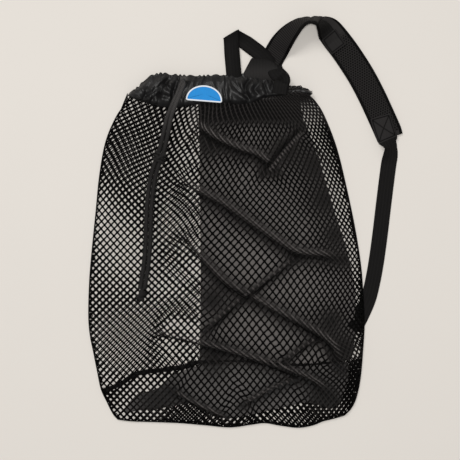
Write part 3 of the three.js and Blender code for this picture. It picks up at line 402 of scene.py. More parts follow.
def nearest(points, line):
    """Distance to a line of close points, its index there and the side (1 is left)."""
    distance = np.full(len(points), np.inf)
    index = np.zeros(len(points), int)
    for k, spot in enumerate(line):
        d = np.hypot(points[:, 0] - spot[0], points[:, 1] - spot[1])
        closer = d < distance
        distance[closer] = d[closer]
        index[closer] = k
    tangent = unit(np.gradient(line, axis=0))[index]
    off = points - line[index]
    side = np.sign(tangent[:, 0] * off[:, 1] - tangent[:, 1] * off[:, 0])
    return distance, index, side, tangent


def beside(points, route, count):
    """Distance to a route in shares, the share along it, the side and its direction."""
    distance, index, side, tangent = nearest(points, even(place(route), count))
    return distance, index / (count - 1), side, tangent


# Shape of the front of the sack

LEFT_LINE = even(place(LEFT_SIDE), 300)
RIGHT_LINE = even(place(RIGHT_SIDE), 300)
FOOT_LINE = even(place(FOOT), 300)
HEAD_LINE = even(place(HEM_FRONT_FOOT) + (0, NET_TUCK), 300)
SACK_OUTLINE = np.vstack([LEFT_LINE[::-1], FOOT_LINE[1:], RIGHT_LINE[1:], HEAD_LINE[::-1]])


def side_at(line, y):
    return np.interp(y, line[:, 1], line[:, 0])


def row_at(line, x):
    return np.interp(x, line[:, 0], line[:, 1])


def net_level(x, y):
    """Height of the middle of the front net, without its sharp tucks."""
    left, right = side_at(LEFT_LINE, y), side_at(RIGHT_LINE, y)
    foot, head = row_at(FOOT_LINE, x), row_at(HEAD_LINE, x)
    u = np.clip((x - left) / (right - left), 0, 1)
    v = np.clip((y - foot) / (head - foot), 0, 1)
    side = (1 - np.exp(-u / 0.06)) * (1 - np.exp(-(1 - u) / 0.06))
    rise = 1 - np.exp(-v / 0.05)
    mouth = mix(1, 0.78, ramp(0.8, 1, v))
    rim = CLEARANCE + NET_THICKNESS
    dome = np.maximum(TUCK_RISE * ramp(0.93, 1, v), SACK_LOFT * side * rise * mouth)
    swell = np.zeros_like(x)
    for start, via, end, height, spread in SWELLS:
        a, b, c = place([start, via, end])
        middle = 2 * b - (a + c) / 2
        least = np.full(x.shape, np.inf)
        for t in np.linspace(0, 1, 33):
            px, py = (1 - t) ** 2 * a + 2 * t * (1 - t) * middle + t * t * c
            least = np.minimum(least, np.hypot(px - x, py - y))
        swell += height * bell(least, spread * SACK_WIDTH)
    fade = side * rise * (1 - ramp(0.86, 0.98, v))
    return rim + rim * ramp(0.8, 1, u) + dome + FOLD_HEIGHT * swell * fade + NET_THICKNESS / 2


def gathered(points):
    """Draws the flat cloth in towards the hem, as the sack's sides narrow."""
    x, y = points[:, 0], points[:, 1]
    x = x - RIGHT_FULLNESS * np.clip((x - 0.09) / 0.23, 0, 1.2) ** 2
    left, right = side_at(LEFT_LINE, y), side_at(RIGHT_LINE, y)
    spare = SACK_WIDTH - (right - left)
    across = (x + HALF_WIDTH) / SACK_WIDTH
    drawn = left + x + HALF_WIDTH - spare * ramp(0.18, 1.15, across) / ramp(0.18, 1.15, 1.0)
    return np.stack([mix(x, drawn, ramp(0.42, 0.75, y / SACK_LENGTH)), y], axis=1)


def twisted(points):
    """Turns the flat cloth in its own plane at each of the twists."""
    moved = points.copy()
    for middle, reach, degrees in TWISTS:
        off = points - place([middle])[0]
        share = bell(np.linalg.norm(off, axis=1), reach * HALF_WIDTH)
        moved += turned(*off.T, math.radians(degrees) * share) - off
    return moved


def drift(points, amount, seed):
    """Small slow drift of hand-laid cloth."""
    rng = np.random.default_rng(seed)
    moved = np.zeros_like(points)
    for _ in range(7):
        direction = rng.normal(size=2)
        wave = rng.normal(size=2) * 26
        moved += direction * np.sin(points @ wave + rng.uniform(0, 6.3))[:, None]
    return moved * amount / 3


def laid_flat(points):
    spots = twisted(gathered(points))
    return spots + drift(spots, FLAT_DRIFT, FLAT_SEED)


def tucked(points):
    """Folds the net over itself at each tuck: moved points and the height each gains."""
    moved = points.copy()
    lift = np.zeros(len(points))
    for tuck in TUCKS:
        distance, along, side, tangent = beside(points, tuck.route, 120)
        ends = faded(along, 0.16)
        over = distance * side * tuck.lean
        pull = tuck.depth * np.tanh(distance * side / tuck.width)
        pull += tuck.edge * tuck.lean * np.tanh((over + tuck.width * 0.9) / EDGE_WIDTH)
        moved -= left_of(tangent) * (pull * bell(distance, TUCK_REACH) * ends)[:, None]
        hump = ramp(-tuck.width * 1.3, tuck.width, over)
        hump *= np.exp(-np.maximum(over - tuck.width, 0) / 0.022)
        lift += tuck.rise * hump * ends
    return moved, lift


def past_outline(spots):
    """Which points lie outside the sack, how far, and where its outline is nearest."""
    outside = ~inside(spots, SACK_OUTLINE)
    distance, index, _, _ = nearest(spots[outside], SACK_OUTLINE)
    return outside, distance, SACK_OUTLINE[index]


def front_shape(points):
    """Where each point of the flat front net lies on the sack. Beyond the outline the net
    turns under, from its level at the edge down towards the floor."""
    spots, lift = tucked(laid_flat(points))
    outside, beyond, edge = past_outline(spots)
    spots[outside] = edge + (edge - spots[outside]) * TURN_BACK
    level = net_level(*spots.T)
    level += lift * np.clip((level - 0.004) / 0.012, 0, 1)
    level[outside] = mix(net_level(*edge.T), EDGE_LEVEL, ramp(0, 0.004, beyond))
    return np.column_stack([spots, level])


def turn_under(spots):
    """How far outside the outline a cell of the flat cloth is kept: wide on the right."""
    x, y = spots.T
    reach = mix(0.004, 0.0065, ramp(0.1, 0.9, x / HALF_WIDTH))
    return reach * (1 - ramp(0.8, 0.95, y / SACK_LENGTH))


# Materials

class Value:
    """A socket in a material. Python's operators on it add Math nodes."""

    def __init__(self, finish, socket):
        self.finish = finish
        self.socket = socket

    def __add__(self, other):
        return self.finish.maths("ADD", self, other)

    def __sub__(self, other):
        return self.finish.maths("SUBTRACT", self, other)

    def __rsub__(self, other):
        return self.finish.maths("SUBTRACT", other, self)

    def __mul__(self, other):
        return self.finish.maths("MULTIPLY", self, other)

    def __neg__(self):
        return self * -1.0

    __radd__ = __add__
    __rmul__ = __mul__


class Finish:
    """A procedural material: one Principled surface and what feeds it."""

    def __init__(self, name, specular):
        self.material = bpy.data.materials.new("bag_" + name)
        self.material.use_nodes = True
        self.tree = self.material.node_tree
        self.tree.nodes.clear()
        self.surface = self.tree.nodes.new("ShaderNodeBsdfPrincipled")
        self.surface.inputs["Specular IOR Level"].default_value = specular
        output = self.tree.nodes.new("ShaderNodeOutputMaterial")
        self.tree.links.new(self.surface.outputs["BSDF"], output.inputs["Surface"])
        self.spot = self.node("ShaderNodeTexCoord", output="Object")

    def put(self, socket, value):
        if isinstance(value, Value):
            self.tree.links.new(value.socket, socket)
        else:
            socket.default_value = value

    def node(self, kind, sockets=None, output=0, **settings):
        made = self.tree.nodes.new(kind)
        for key, value in settings.items():
            setattr(made, key, value)
        for key, value in (sockets or {}).items():
            self.put(made.inputs[key], value)
        return Value(self, made.outputs[output])

    def maths(self, operation, *values):
        return self.node("ShaderNodeMath", dict(enumerate(values)), operation=operation)

    def cloth(self):
        """Place on the cloth, in metres, from the piece's UV map."""
        return self.node("ShaderNodeUVMap", uv_map="cloth")

    def axes(self):
        """Across and along on the cloth."""
        spot = self.cloth()
        return [self.node("ShaderNodeSeparateXYZ", {0: spot}, axis) for axis in "XY"]

    def share(self, name):
        """A share that the mesh gives each of its points."""
        return self.node("ShaderNodeAttribute", output="Fac", attribute_name=name)

    def wave(self, value, pitch):
        return self.maths("SINE", value * (2 * math.pi / pitch))

    def noise(self, scale, detail=3.0, roughness=0.5):
        sockets = {"Vector": self.spot, "Scale": scale, "Detail": detail, "Roughness": roughness}
        return self.node("ShaderNodeTexNoise", sockets)

    def between(self, low, high, value):
        """0 below low, 1 above high."""
        sockets = {"Value": value, "From Min": low, "From Max": high}
        return self.node("ShaderNodeMapRange", sockets, interpolation_type="SMOOTHSTEP")

    def blend(self, share, first, second):
        """Mix of two colours. Inputs 6 and 7 and output 2 are the Mix node's for colours."""
        sockets = {0: share, 6: self.paint(first), 7: self.paint(second)}
        return self.node("ShaderNodeMix", sockets, 2, data_type="RGBA")

    @staticmethod
    def paint(colour):
        return colour if isinstance(colour, Value) else (*colour, 1.0)

    def bump(self, height, distance, strength, normal=None):
        sockets = {"Height": height, "Distance": distance, "Strength": strength}
        if normal is not None:
            sockets["Normal"] = normal
        return self.node("ShaderNodeBump", sockets)

    def looks(self, colour, roughness, normal=None):
        """Feeds the surface, and gives the material."""
        self.put(self.surface.inputs["Base Color"], colour)
        self.put(self.surface.inputs["Roughness"], roughness)
        if normal is not None:
            self.put(self.surface.inputs["Normal"], normal)
        return self.material


def tone(colour, factor):
    return tuple(min(1.0, c * factor) for c in tuple(colour)[:3])


def net_finish(name, colour, pitch):
    """Strands of net with a painted highlight where the mesh says light; along the folds it falls
    mostly on the strands that run one way.
    """
    finish = Finish(name, 0.05)
    fibre = finish.noise(900.0, 2.0)
    patch = finish.noise(14.0)
    across, along = finish.axes()
    turn = 2 * math.pi / pitch
    rising = finish.maths("SINE", (across - along) * turn + math.pi / 2)
    falling = finish.maths("SINE", (across + along) * turn + math.pi / 2)
    one_way = finish.between(-0.5, 0.5, rising - falling)
    dark = finish.blend(patch, tone(colour, 0.75), tone(colour, 1.4))
    lit = finish.share("light") * (one_way * 0.75 + 0.25) * (patch * 0.8 + 0.6)
    colour = finish.blend(lit, dark, tone(colour, LIT_STRAND))
    return finish.looks(colour, fibre * 0.2 + 0.5, finish.bump(fibre, 0.0004, 0.6))


def cloth_finish(name, colour, roughness, pitch, depth, specular, worn=False):
    """Plain weave with soft crumples; when asked, it darkens to painted shade where the mesh's
    share says so.
    """
    finish = Finish(name, specular)
    across, along = finish.axes()
    warp, weft = finish.wave(across, pitch), finish.wave(along, pitch)
    threads = finish.maths("MAXIMUM", warp * weft, -(warp * weft)) * 0.5 + warp * 0.25
    patch = finish.noise(9.0, 4.0, 0.6)
    cloth = finish.blend(patch, tone(colour, 0.7), tone(colour, 1.35))
    if worn:
        cloth = finish.blend(finish.share("wear"), tone(colour, SHADE_AND_STITCH_TONE), cloth)
    soft = finish.bump(finish.noise(55.0), 0.0012, 0.5)
    roughness = patch * 0.12 + (roughness - 0.06)
    return finish.looks(cloth, roughness, finish.bump(threads, depth, 0.7, soft))


def marked(finish, cloth, colour):
    """Lighter where the mesh says light (painted highlight on most pieces), darker where it says
    mark (painted shade, and stitches on the webbing).
    """
    lit = finish.blend(finish.share("light"), cloth, tone(colour, LIT_CLOTH))
    return finish.blend(finish.share("mark"), lit, tone(colour, SHADE_AND_STITCH_TONE))


def webbing_finish(name, colour):
    finish = Finish(name, 0.06)
    across, along = finish.axes()
    warp, broad = finish.wave(across, 0.0022), finish.wave(across, 0.0062)
    weft = finish.maths("SINE", along * (2 * math.pi / 0.0013) + warp * 1.4)
    height = warp * 0.45 + weft * 0.3 + broad * 0.35
    patch = finish.noise(22.0)
    share = finish.between(-0.9, 0.9, height) * 0.6 + patch * 0.4
    cloth = finish.blend(share, tone(colour, 0.6), tone(colour, 1.45))
    relief = finish.bump(height, 0.00028, 0.9)
    return finish.looks(marked(finish, cloth, colour), patch * 0.15 + 0.52, relief)


def pad_finish(name, colour):
    finish = Finish(name, 0.06)
    fine = finish.node("ShaderNodeTexVoronoi", {"Vector": finish.cloth(), "Scale": 900.0})
    patch = finish.noise(18.0)
    cloth = finish.blend(patch, tone(colour, 0.45), tone(colour, 1.3))
    relief = finish.bump(fine, 0.0003, 0.5)
    return finish.looks(marked(finish, cloth, colour), patch * 0.1 + 0.62, relief)


def cord_finish(name, colour):
    finish = Finish(name, 0.08)
    around, along = finish.axes()
    left = finish.maths("SINE", around * 1600.0 + along * 1900.0)
    right = finish.maths("SINE", around * 1600.0 - along * 1900.0)
    height = finish.maths("MAXIMUM", left, right)
    patch = finish.noise(40.0)
    share = finish.between(-0.4, 1.0, height) * 0.7 + patch * 0.3
    plain = finish.blend(share, tone(colour, 0.25), tone(colour, 2.0))
    # Painted highlight: a lit copy of the braid, used where the mesh's light share says so
    lit = finish.blend(share, tone(colour, 0.8), tone(colour, 5.5))
    colour = finish.blend(finish.share("light"), plain, lit)
    return finish.looks(colour, patch * 0.2 + 0.55, finish.bump(height, 0.0005, 0.8))


def label_finish(name, colour, roughness):
    finish = Finish(name, 0.2)
    grain = finish.noise(260.0)
    colour = finish.blend(grain, tone(colour, 0.9), tone(colour, 1.1))
    return finish.looks(colour, grain * 0.1 + roughness, finish.bump(grain, 0.0002, 0.3))


def floor_finish(name, colour):
    finish = Finish(name, 0.2)
    cloud = finish.noise(3.0, 4.0)
    colour = finish.blend(cloud, tone(colour, 0.985), tone(colour, 1.015))
    return finish.looks(colour, cloud * 0.05 + 0.85)


def shared(name, make, *values, **settings):
    """The finish of that name, made once."""
    return bpy.data.materials.get("bag_" + name) or make(name, *values, **settings)


# Meshes

def add_mesh(name, points, faces, uv, materials, kinds=None):
    """A mesh of points from the middle of the sack's foot. kinds is each face's material."""
    mesh = bpy.data.meshes.new(name)
    spots = np.asarray(points, float) + ORIGIN
    mesh.from_pydata(spots.tolist(), [], [list(map(int, face)) for face in faces])
    for material in materials:
        mesh.materials.append(material)
    if kinds is not None:
        mesh.polygons.foreach_set("material_index", np.asarray(kinds, np.int32))
    corner = np.zeros(len(mesh.loops), np.int32)
    mesh.loops.foreach_get("vertex_index", corner)
    layer = mesh.uv_layers.new(name="cloth")
    layer.data.foreach_set("uv", np.asarray(uv, np.float32)[corner].ravel())
    mesh.shade_smooth()
    mesh.update()
    piece = bpy.data.objects.new(name, mesh)
    bpy.context.scene.collection.objects.link(piece)
    return piece


def dress(name, skin, finish, slot, *nodes, **shares):
    """A piece that rides on the bag and stands for the nodes, with shares for its finish."""
    piece = add_mesh(name, *skin, [finish])
    for key, values in shares.items():
        layer = piece.data.attributes.new(key, "FLOAT", "POINT")
        layer.data.foreach_set("value", np.asarray(values, np.float32))
    return on_bag(piece, slot, *nodes)


def on_bag(piece, slot, *nodes):
    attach(piece, "root")
    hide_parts(*nodes)
    return piece


def ring_faces(rings, sides):
    """Quads between closed rings of points."""
    r, c = np.divmod(np.arange((rings - 1) * sides), sides)
    here, after = r * sides + c, r * sides + (c + 1) % sides
    return np.stack([here, after, after + sides, here + sides], axis=1)


def closed(rings, sides):
    """Faces of rings of points with both ends closed."""
    faces = ring_faces(rings, sides).tolist()
    faces.append(list(range(sides))[::-1])
    faces.append([(rings - 1) * sides + k for k in range(sides)])
    return faces


def free_walls(edges, count):
    """Walls between two layers of count points, at the edges that only one face has."""
    ordered = np.sort(edges, axis=1)
    _, first, uses = np.unique(ordered, axis=0, return_index=True, return_counts=True)
    a, b = edges[first[uses == 1]].T
    return np.stack([b, a, a + count, b + count], axis=1)


def cloth_map(across, run):
    """Across and along in metres for each point of rings along a line."""
    return np.stack(np.broadcast_arrays(across, run[:, None]), axis=2).reshape(-1, 2)


def tube(points, radius, sides, bumps=None):
    """Tube round a line: points, faces, and around and along in metres for each point."""
    line = np.asarray(points, float)
    count = len(line)
    tangent = unit(np.gradient(line, axis=0))
    side = np.zeros_like(line)
    reference = unit(np.cross(tangent[0], (0.03, 0.02, 1.0)))
    for k in range(count):
        reference = unit(reference - tangent[k] * (reference @ tangent[k]))
        side[k] = reference
    up = np.cross(tangent, side)
    angle = np.linspace(0, 2 * math.pi, sides, endpoint=False)
    run = run_along(line)
    size = np.broadcast_to(np.asarray(radius, float).reshape(-1, 1), (count, sides)).copy()
    if bumps is not None:
        size += bumps(angle[None, :], run[:, None])
    turn = angle[None, :, None]
    ring = side[:, None] * np.cos(turn) + up[:, None] * np.sin(turn)
    skin = (line[:, None] + ring * size[:, :, None]).reshape(-1, 3)
    faces = [face[::-1] for face in closed(count, sides)]
    return skin, faces, cloth_map(angle[None, :] * CORD_DIAMETER / 2, run)


def joined(parts):
    """Several (points, faces, uv) as one."""
    points, faces, uv, start = [], [], [], 0
    for part_points, part_faces, part_uv in parts:
        points.append(part_points)
        uv.append(part_uv)
        faces += [[int(k) + start for k in face] for face in part_faces]
        start += len(part_points)
    return np.vstack(points), faces, np.vstack(uv)


# Net

def lattice(shape, keep, cell, strand, height):
    """Knotted net of diamond cells, each a ring of eight points round its hole. shape maps
    flat points to the sack, and keep tells which cells stay, from their middles in the flat
    cloth and on the sack."""
    across = int(SACK_WIDTH * 0.68 / cell)
    along = int(SACK_LENGTH / cell) + 2
    i, j = np.meshgrid(np.arange(-across, across + 1), np.arange(-2, along), indexing="ij")
    centres = np.stack([i.ravel(), j.ravel()], axis=1)
    centres = centres[(centres.sum(axis=1) % 2) == 0]
    scale = cell / 2
    flat = centres * 2 * scale
    middle = shape(flat)
    kept = keep(flat, middle)
    centres, middle = centres[kept], middle[kept]
    corners = np.array([(2, 0), (1, 1), (0, 2), (-1, 1), (-2, 0), (-1, -1), (0, -2), (1, -1)])
    keys = (centres[:, None, :] * 2 + corners[None]).reshape(-1, 2)
    known, where = np.unique(keys, axis=0, return_inverse=True)
    where = where.reshape(-1, 8)
    rim = shape(known * scale)
    size = np.linalg.norm(rim[where][:, :, :2] - middle[:, None, :2], axis=2)
    a, b = rim[where][:, 0::2, :2], rim[where][:, [2, 4, 6, 0], :2]
    area = np.abs(np.cross(a - middle[:, None, :2], b - middle[:, None, :2]))
    reach = area / np.maximum(np.linalg.norm(a - b, axis=2), 1e-6)
    open_edge = np.clip(1 - strand / 2 / np.maximum(reach, 1e-5), 0.10, 0.86)
    share = np.empty((len(centres), 8))
    share[:, 1::2] = open_edge
    share[:, 0::2] = np.minimum(open_edge, np.roll(open_edge, 1, axis=1)) * 0.95
    share[size < 1e-5] = 0.1
    spread = (centres[:, None, :] * 2 + corners[None] * share[:, :, None]).reshape(-1, 2)
    hole = middle[:, None, :] + (rim[where] - middle[:, None, :]) * share[:, :, None]
    hole = hole.reshape(-1, 3)
    knot = (known.sum(axis=1) % 2 == 0) & (np.abs(known[:, 0]) % 2 == 0)
    thick = np.where(knot, height * 1.35, height)[:, None] * (0, 0, 1)
    count = len(known)
    points = np.vstack([rim + thick, rim - thick, hole])
    ring = np.arange(len(centres) * 8).reshape(-1, 8) + 2 * count
    top, low = where, where + count
    nxt = np.roll(np.arange(8), -1)
    upper = np.stack([top, top[:, nxt], ring[:, nxt], ring], axis=2).reshape(-1, 4)
    lower = np.stack([low[:, nxt], low, ring, ring[:, nxt]], axis=2).reshape(-1, 4)
    walls = free_walls(np.stack([top, top[:, nxt]], axis=2).reshape(-1, 2), count)
    uv = np.vstack([known * scale, known * scale, spread * scale])
    return points, np.vstack([upper, lower, walls]), uv


def area_of(region):
    x, y = region.T
    return abs(float(x @ np.roll(y, -1) - y @ np.roll(x, -1))) / 2


def net_sheet(piece, region, fullness):
    """Area of a net's strands from its flat cut, without the holes; the sum is worked out and
    dropped.
    """
    pitch = sizes().net_pitch / math.sqrt(2)
    threads = 1 - (1 - sizes().strand_width / pitch) ** 2
    flat = area_of(region) * fullness ** 2
    flat * threads * 1.15


def length_setting(name, description, default, low, high):
    return FloatProperty(
        name=name, description=description, default=default, min=low, max=high,
        unit="LENGTH", precision=4)


def colour_setting(name, description, *default):
    return FloatVectorProperty(
        name=name, description=description, default=default, min=0, max=1,
        subtype="COLOR", size=3)


class BagSizes(PropertyGroup):
    """Sizes that can be set by hand."""

    net_pitch: length_setting(
        "Net pitch", "Distance between the holes of a row of the net", 0.0136, 0.006, 0.03)
    strand_width: length_setting(
        "Strand width", "Width of one strand of the net", 0.0029, 0.0008, 0.005)
    strand_height: length_setting(
        "Strand height", "Half thickness of one strand of the net", 0.0007, 0.0003, 0.002)
    cloth_spacing: length_setting(
        "Cloth grid", "Distance between the points of a cloth panel", 0.006, 0.003, 0.02)
    pleats: IntProperty(
        name="Hem pleats", description="Number of gathers along the front of the hem",
        default=50, min=8, max=200)
    camera_height: length_setting(
        "Camera height", "Height of the camera above the floor", 4.0, 1.0, 20.0)
    view_width: length_setting(
        "View width", "Width of floor that the picture shows", 0.920, 0.3, 3.0)


class BagColours(PropertyGroup):
    """Colours of the finishes."""

    net: colour_setting("Net", "Strands of the net", 0.0014, 0.00128, 0.00124)
    nylon: colour_setting("Nylon", "Gathered hem", 0.0085, 0.0082, 0.0084)
    panel: colour_setting("Panel", "Cloth of the back panel", 0.185, 0.172, 0.165)
    base: colour_setting("Base", "Coated cloth of the base", 0.132, 0.124, 0.120)
    webbing: colour_setting("Webbing", "Handle, straps and binding", 0.0088, 0.0083, 0.0082)
    pad: colour_setting("Pad", "Air mesh of the shoulder strap", 0.0058, 0.0054, 0.0053)
    cord: colour_setting("Cord", "Drawcord", 0.0155, 0.0147, 0.0144)
    label: colour_setting("Label", "Face of the label", 0.016, 0.260, 0.680)
    label_rim: colour_setting("Label rim", "Rim of the label", 0.80, 0.84, 0.88)
    floor: colour_setting("Floor", "Floor under the bag", 0.78, 0.745, 0.70)


def colours():
    return bpy.context.scene.bag_colours


def sizes():
    return bpy.context.scene.bag_sizes


# Stage and camera

PHOTO_MIDDLE = (-0.0314, -0.0171)
FLOOR_SIZE = 12.0
LAMP_COLOUR = (1.0, 0.985, 0.965)
# Name, place, size and power of each lamp
LAMPS = [
    ("overhead", (*PHOTO_MIDDLE, 4.6), 0.6, 104),
    ("key", (-1.8, 3.4, 4.4), 2.4, 112),
]


def add_lamp(name, at, size, power):
    data = bpy.data.lights.new(name, "AREA")
    data.shape = "DISK"
    data.size = size
    data.energy = power
    data.color = LAMP_COLOUR
    lamp = bpy.data.objects.new(name, data)
    lamp.location = at
    lamp.rotation_euler = (-Vector(at)).to_track_quat("-Z", "Y").to_euler()
    bpy.context.scene.collection.objects.link(lamp)


class BAG_OT_stage(Operator):
    """Floor, soft lights and the camera straight above"""

    bl_idname = "bag.stage"
    bl_label = "Stage"

    def execute(self, context):
        scene = context.scene
        data = bpy.data.cameras.new("overhead")
        data.lens = data.sensor_width * sizes().camera_height / sizes().view_width
        data.clip_end = 50
        camera = bpy.data.objects.new("overhead", data)
        camera.location = (*PHOTO_MIDDLE, sizes().camera_height)
        scene.collection.objects.link(camera)
        scene.camera = camera
        half = FLOOR_SIZE / 2
        corners = np.array([(-1, -1, 0), (1, -1, 0), (1, 1, 0), (-1, 1, 0)]) * half
        finish = shared("pale_floor", floor_finish, colours().floor)
        floor = add_mesh("floor", corners - ORIGIN, [(0, 1, 2, 3)], corners[:, :2], [finish])
        for lamp in LAMPS:
            add_lamp(*lamp)
        world = bpy.data.worlds.new("soft_room")
        world.use_nodes = True
        background = world.node_tree.nodes["Background"]
        background.inputs["Color"].default_value = (1.0, 0.985, 0.97, 1)
        background.inputs["Strength"].default_value = 0.25
        scene.world = world
        scene.view_settings.view_transform = "Standard"
        return {"FINISHED"}


# Drawcord

def plait(angle, run):
    left = np.sin(angle * 4 + run * 1150)
    right = np.sin(angle * 4 - run * 1150)
    return 0.00035 * np.maximum(left, right) - 0.0002


def strand(name, points, node, pieces):
    line = even(points, STRAND_STEPS)
    finish = shared("braided_cord", cord_finish, colours().cord)
    # Painted highlight on the first part of each strand, next to the hem
    light = 1 - ramp(0.06, 0.34, np.linspace(0, 1, STRAND_STEPS))
    skin = tube(line, CORD_DIAMETER * 0.545, CORD_SIDES, plait)
    piece = dress(name, skin, finish, "cord", node, light=np.repeat(light, CORD_SIDES))


def knot(name, skin, node, at, heading):
    """A knot made along +Y, turned to the heading and moved to its place."""
    points, faces, uv = skin
    x, y, z = points.T
    points = np.column_stack([turned(x, y, math.radians(heading - 90)), z]) + at
    finish = shared("braided_cord", cord_finish, colours().cord)
    return dress(name, (points, faces, uv), finish, "cord", node)


def hitch_knot():
    """Two and a half turns of cord drawn round both strands, and its tail."""
    turns = np.linspace(0, 5 * math.pi, 120)
    across, deep = 0.0105, 0.0058
    coil = np.stack([
        across * np.cos(turns), 0.0165 * (turns / turns[-1] - 0.5), deep * np.sin(turns),
    ], axis=1)
    cross = even([(-0.009, -0.010, 0.0062), (-0.002, -0.002, 0.0078), (0.009, 0.009, 0.0060)], 30)
    return joined([tube(coil, 0.0028, KNOT_SIDES, plait), tube(cross, 0.0030, KNOT_SIDES, plait)])


def end_knot():
    """Overhand knot with two short tails."""
    t = np.linspace(-2.35, 2.35, 140)
    loop = np.stack([
        0.0048 * np.sin(t * 2.0) + 0.0030 * np.sin(t),
        0.0040 * t + 0.0016 * np.sin(t * 2.0),
        0.0040 * np.cos(t * 3.0) * np.exp(-(t / 2.4) ** 4),
    ], axis=1)
    tail = even([(0.002, 0.004, 0.002), (0.0045, 0.0085, 0.001), (0.0030, 0.0112, -0.0010)], 20)
    other = even([(-0.003, 0.003, 0.001), (-0.0055, 0.0070, 0.000), (-0.0062, 0.0105, -0.0012)], 20)
    body = even([(0.0, -0.0145, 0.0), (0.0, 0.0, 0.0005), (0.0, 0.008, 0.0)], 30)
    swell = 0.0052 * np.sqrt(np.maximum(1 - np.linspace(-0.97, 0.97, 30) ** 2, 0.05))
    return joined([
        tube(loop, 0.0034, KNOT_SIDES, plait), tube(tail, 0.0030, TAIL_SIDES, plait),
        tube(other, 0.0030, TAIL_SIDES, plait), tube(body, swell, KNOT_SIDES),
    ])


class BAG_OT_drawcord(Operator):
    """Two plaited strands with the hitch and the knot at their ends"""

    bl_idname = "bag.drawcord"
    bl_label = "Drawcord"

    def execute(self, context):
        pieces = [
            knot("drawcord_hitch", hitch_knot(), "cord_hitch", *HITCH),
            knot("drawcord_end", end_knot(), "cord_end_knot", *END_KNOT),
        ]
        strand("left_strand", LEFT_CORD, "drawcord_left", pieces)
        strand("right_strand", RIGHT_CORD, "drawcord_right", pieces)
        return {"FINISHED"}


# Nets of the sack

SEAM_LINE = even(place(BASE_SEAM), 300)
PANEL_LEFT_LINE = even(place(PANEL_LEFT), 120)
PANEL_RIGHT_LINE = even(place(PANEL_RIGHT), 120)
BACK_HEAD_LINE = even(place(HEM_BACK_FOOT), 200)


def back_shape(seed, amount, level):
    """The back net lies nearly under the front one, with a slow drift between them."""
    def shape(points):
        spots = laid_flat(points)
        spots += drift(spots * 0.5, amount, seed)
        outside, _, edge = past_outline(spots)
        spots[outside] = edge
        return np.column_stack([spots, np.full(len(spots), level)])
    return shape


def back_keep(region):
    """Cells of a back net: those whose middles lie in the region."""
    def keep(flat, spots):
        return inside(spots[:, :2], region)
    return keep


def front_keep(flat, spots):
    """Cells of the front net: those in the outline and the edge that turns under."""
    laid, _ = tucked(laid_flat(flat))
    outside, distance, _ = past_outline(laid)
    kept = ~outside
    kept[outside] = distance < turn_under(laid[outside])
    return kept


def wear_of(points):
    """Share of the cloth's full tone left by painted shade: darker towards the hem, in the listed
    places, and along the folds that lie on it, most on their low side.
    """
    flat = points[:, :2]
    wear = 0.85 * (1 - ramp(0.835, 0.875, flat[:, 1] / SACK_LENGTH))
    for x, y, reach in PAINTED_SHADE_PLACES:
        away = np.linalg.norm(flat - place([(x, y)])[0], axis=1)
        wear *= 1 - 0.90 * np.exp(-(away / (reach * 1.05)) ** 2.4)
    for tuck in TUCKS:
        distance, _, side, _ = beside(flat, tuck.route, 80)
        over = distance * side * tuck.lean + tuck.width * 0.7
        wear *= 1 - 0.95 * bell(over, tuck.width * 1.5)
    return wear


def light_of(points):
    """Share of painted highlight on the front net's strands: some over the cloth's painted shade,
    most along the crests of the folds, and none in the line of painted shadow under a fold."""
    flat = points[:, :2]
    x, y = points[:, 0] / HALF_WIDTH, points[:, 1] / SACK_LENGTH
    over_panel = ramp(-0.10, 0.02, x - side_at(PANEL_LEFT_LINE, points[:, 1]) / HALF_WIDTH)
    over_base = ramp(-0.72, -0.60, x + (y - 0.05) * 2.5) * (1 - ramp(0.10, 0.14, y))
    over = np.maximum(over_panel, over_base)
    crest, under = np.zeros(len(points)), np.zeros(len(points))
    for tuck in TUCKS:
        distance, along, side, _ = beside(flat, tuck.route, 80)
        off = distance * side * tuck.lean
        ends = faded(along, 0.12)
        crest = np.maximum(crest, bell(off + tuck.width * 0.04, tuck.width * 0.46) * ends)
        under = np.maximum(under, bell(off + tuck.width * 0.95, EDGE_WIDTH) * ends)
    broad = 0.21 * over * ramp(0.35, 0.95, 1 - wear_of(points))
    light = np.maximum(broad, 0.95 * crest * mix(0.22, 1, over))
    return np.clip(light * (1 - 0.95 * under), 0, 1)


def ruffle_shape(points):
    """Net drawn up over the right end of the hem."""
    x = points[:, 0] * 0.62 + 0.5 * sum(RUFFLE) * HALF_WIDTH
    foot, top = row_at(place(HEM_FRONT_FOOT), x), row_at(place(HEM_FRONT_TOP), x)
    share = np.clip(points[:, 1] / 0.052, 0, 1)
    end = ramp(0.50, 0.645, x / HALF_WIDTH)
    waves = 0.0011 * np.sin(x * 620 + 9 * share)
    level = mix(0.0325, 0.0290, share) - 0.0200 * end**2 + waves
    y = mix(foot - 0.004, top + 0.0006, share) + 0.0010 * np.sin(x * 480)
    return np.column_stack([x, y, level])


def ruffle_keep(flat, spots):
    share = spots[:, 0] / HALF_WIDTH
    return (share > RUFFLE[0]) & (share < RUFFLE[1]) & (flat[:, 1] > 0.001) & (flat[:, 1] < 0.051)


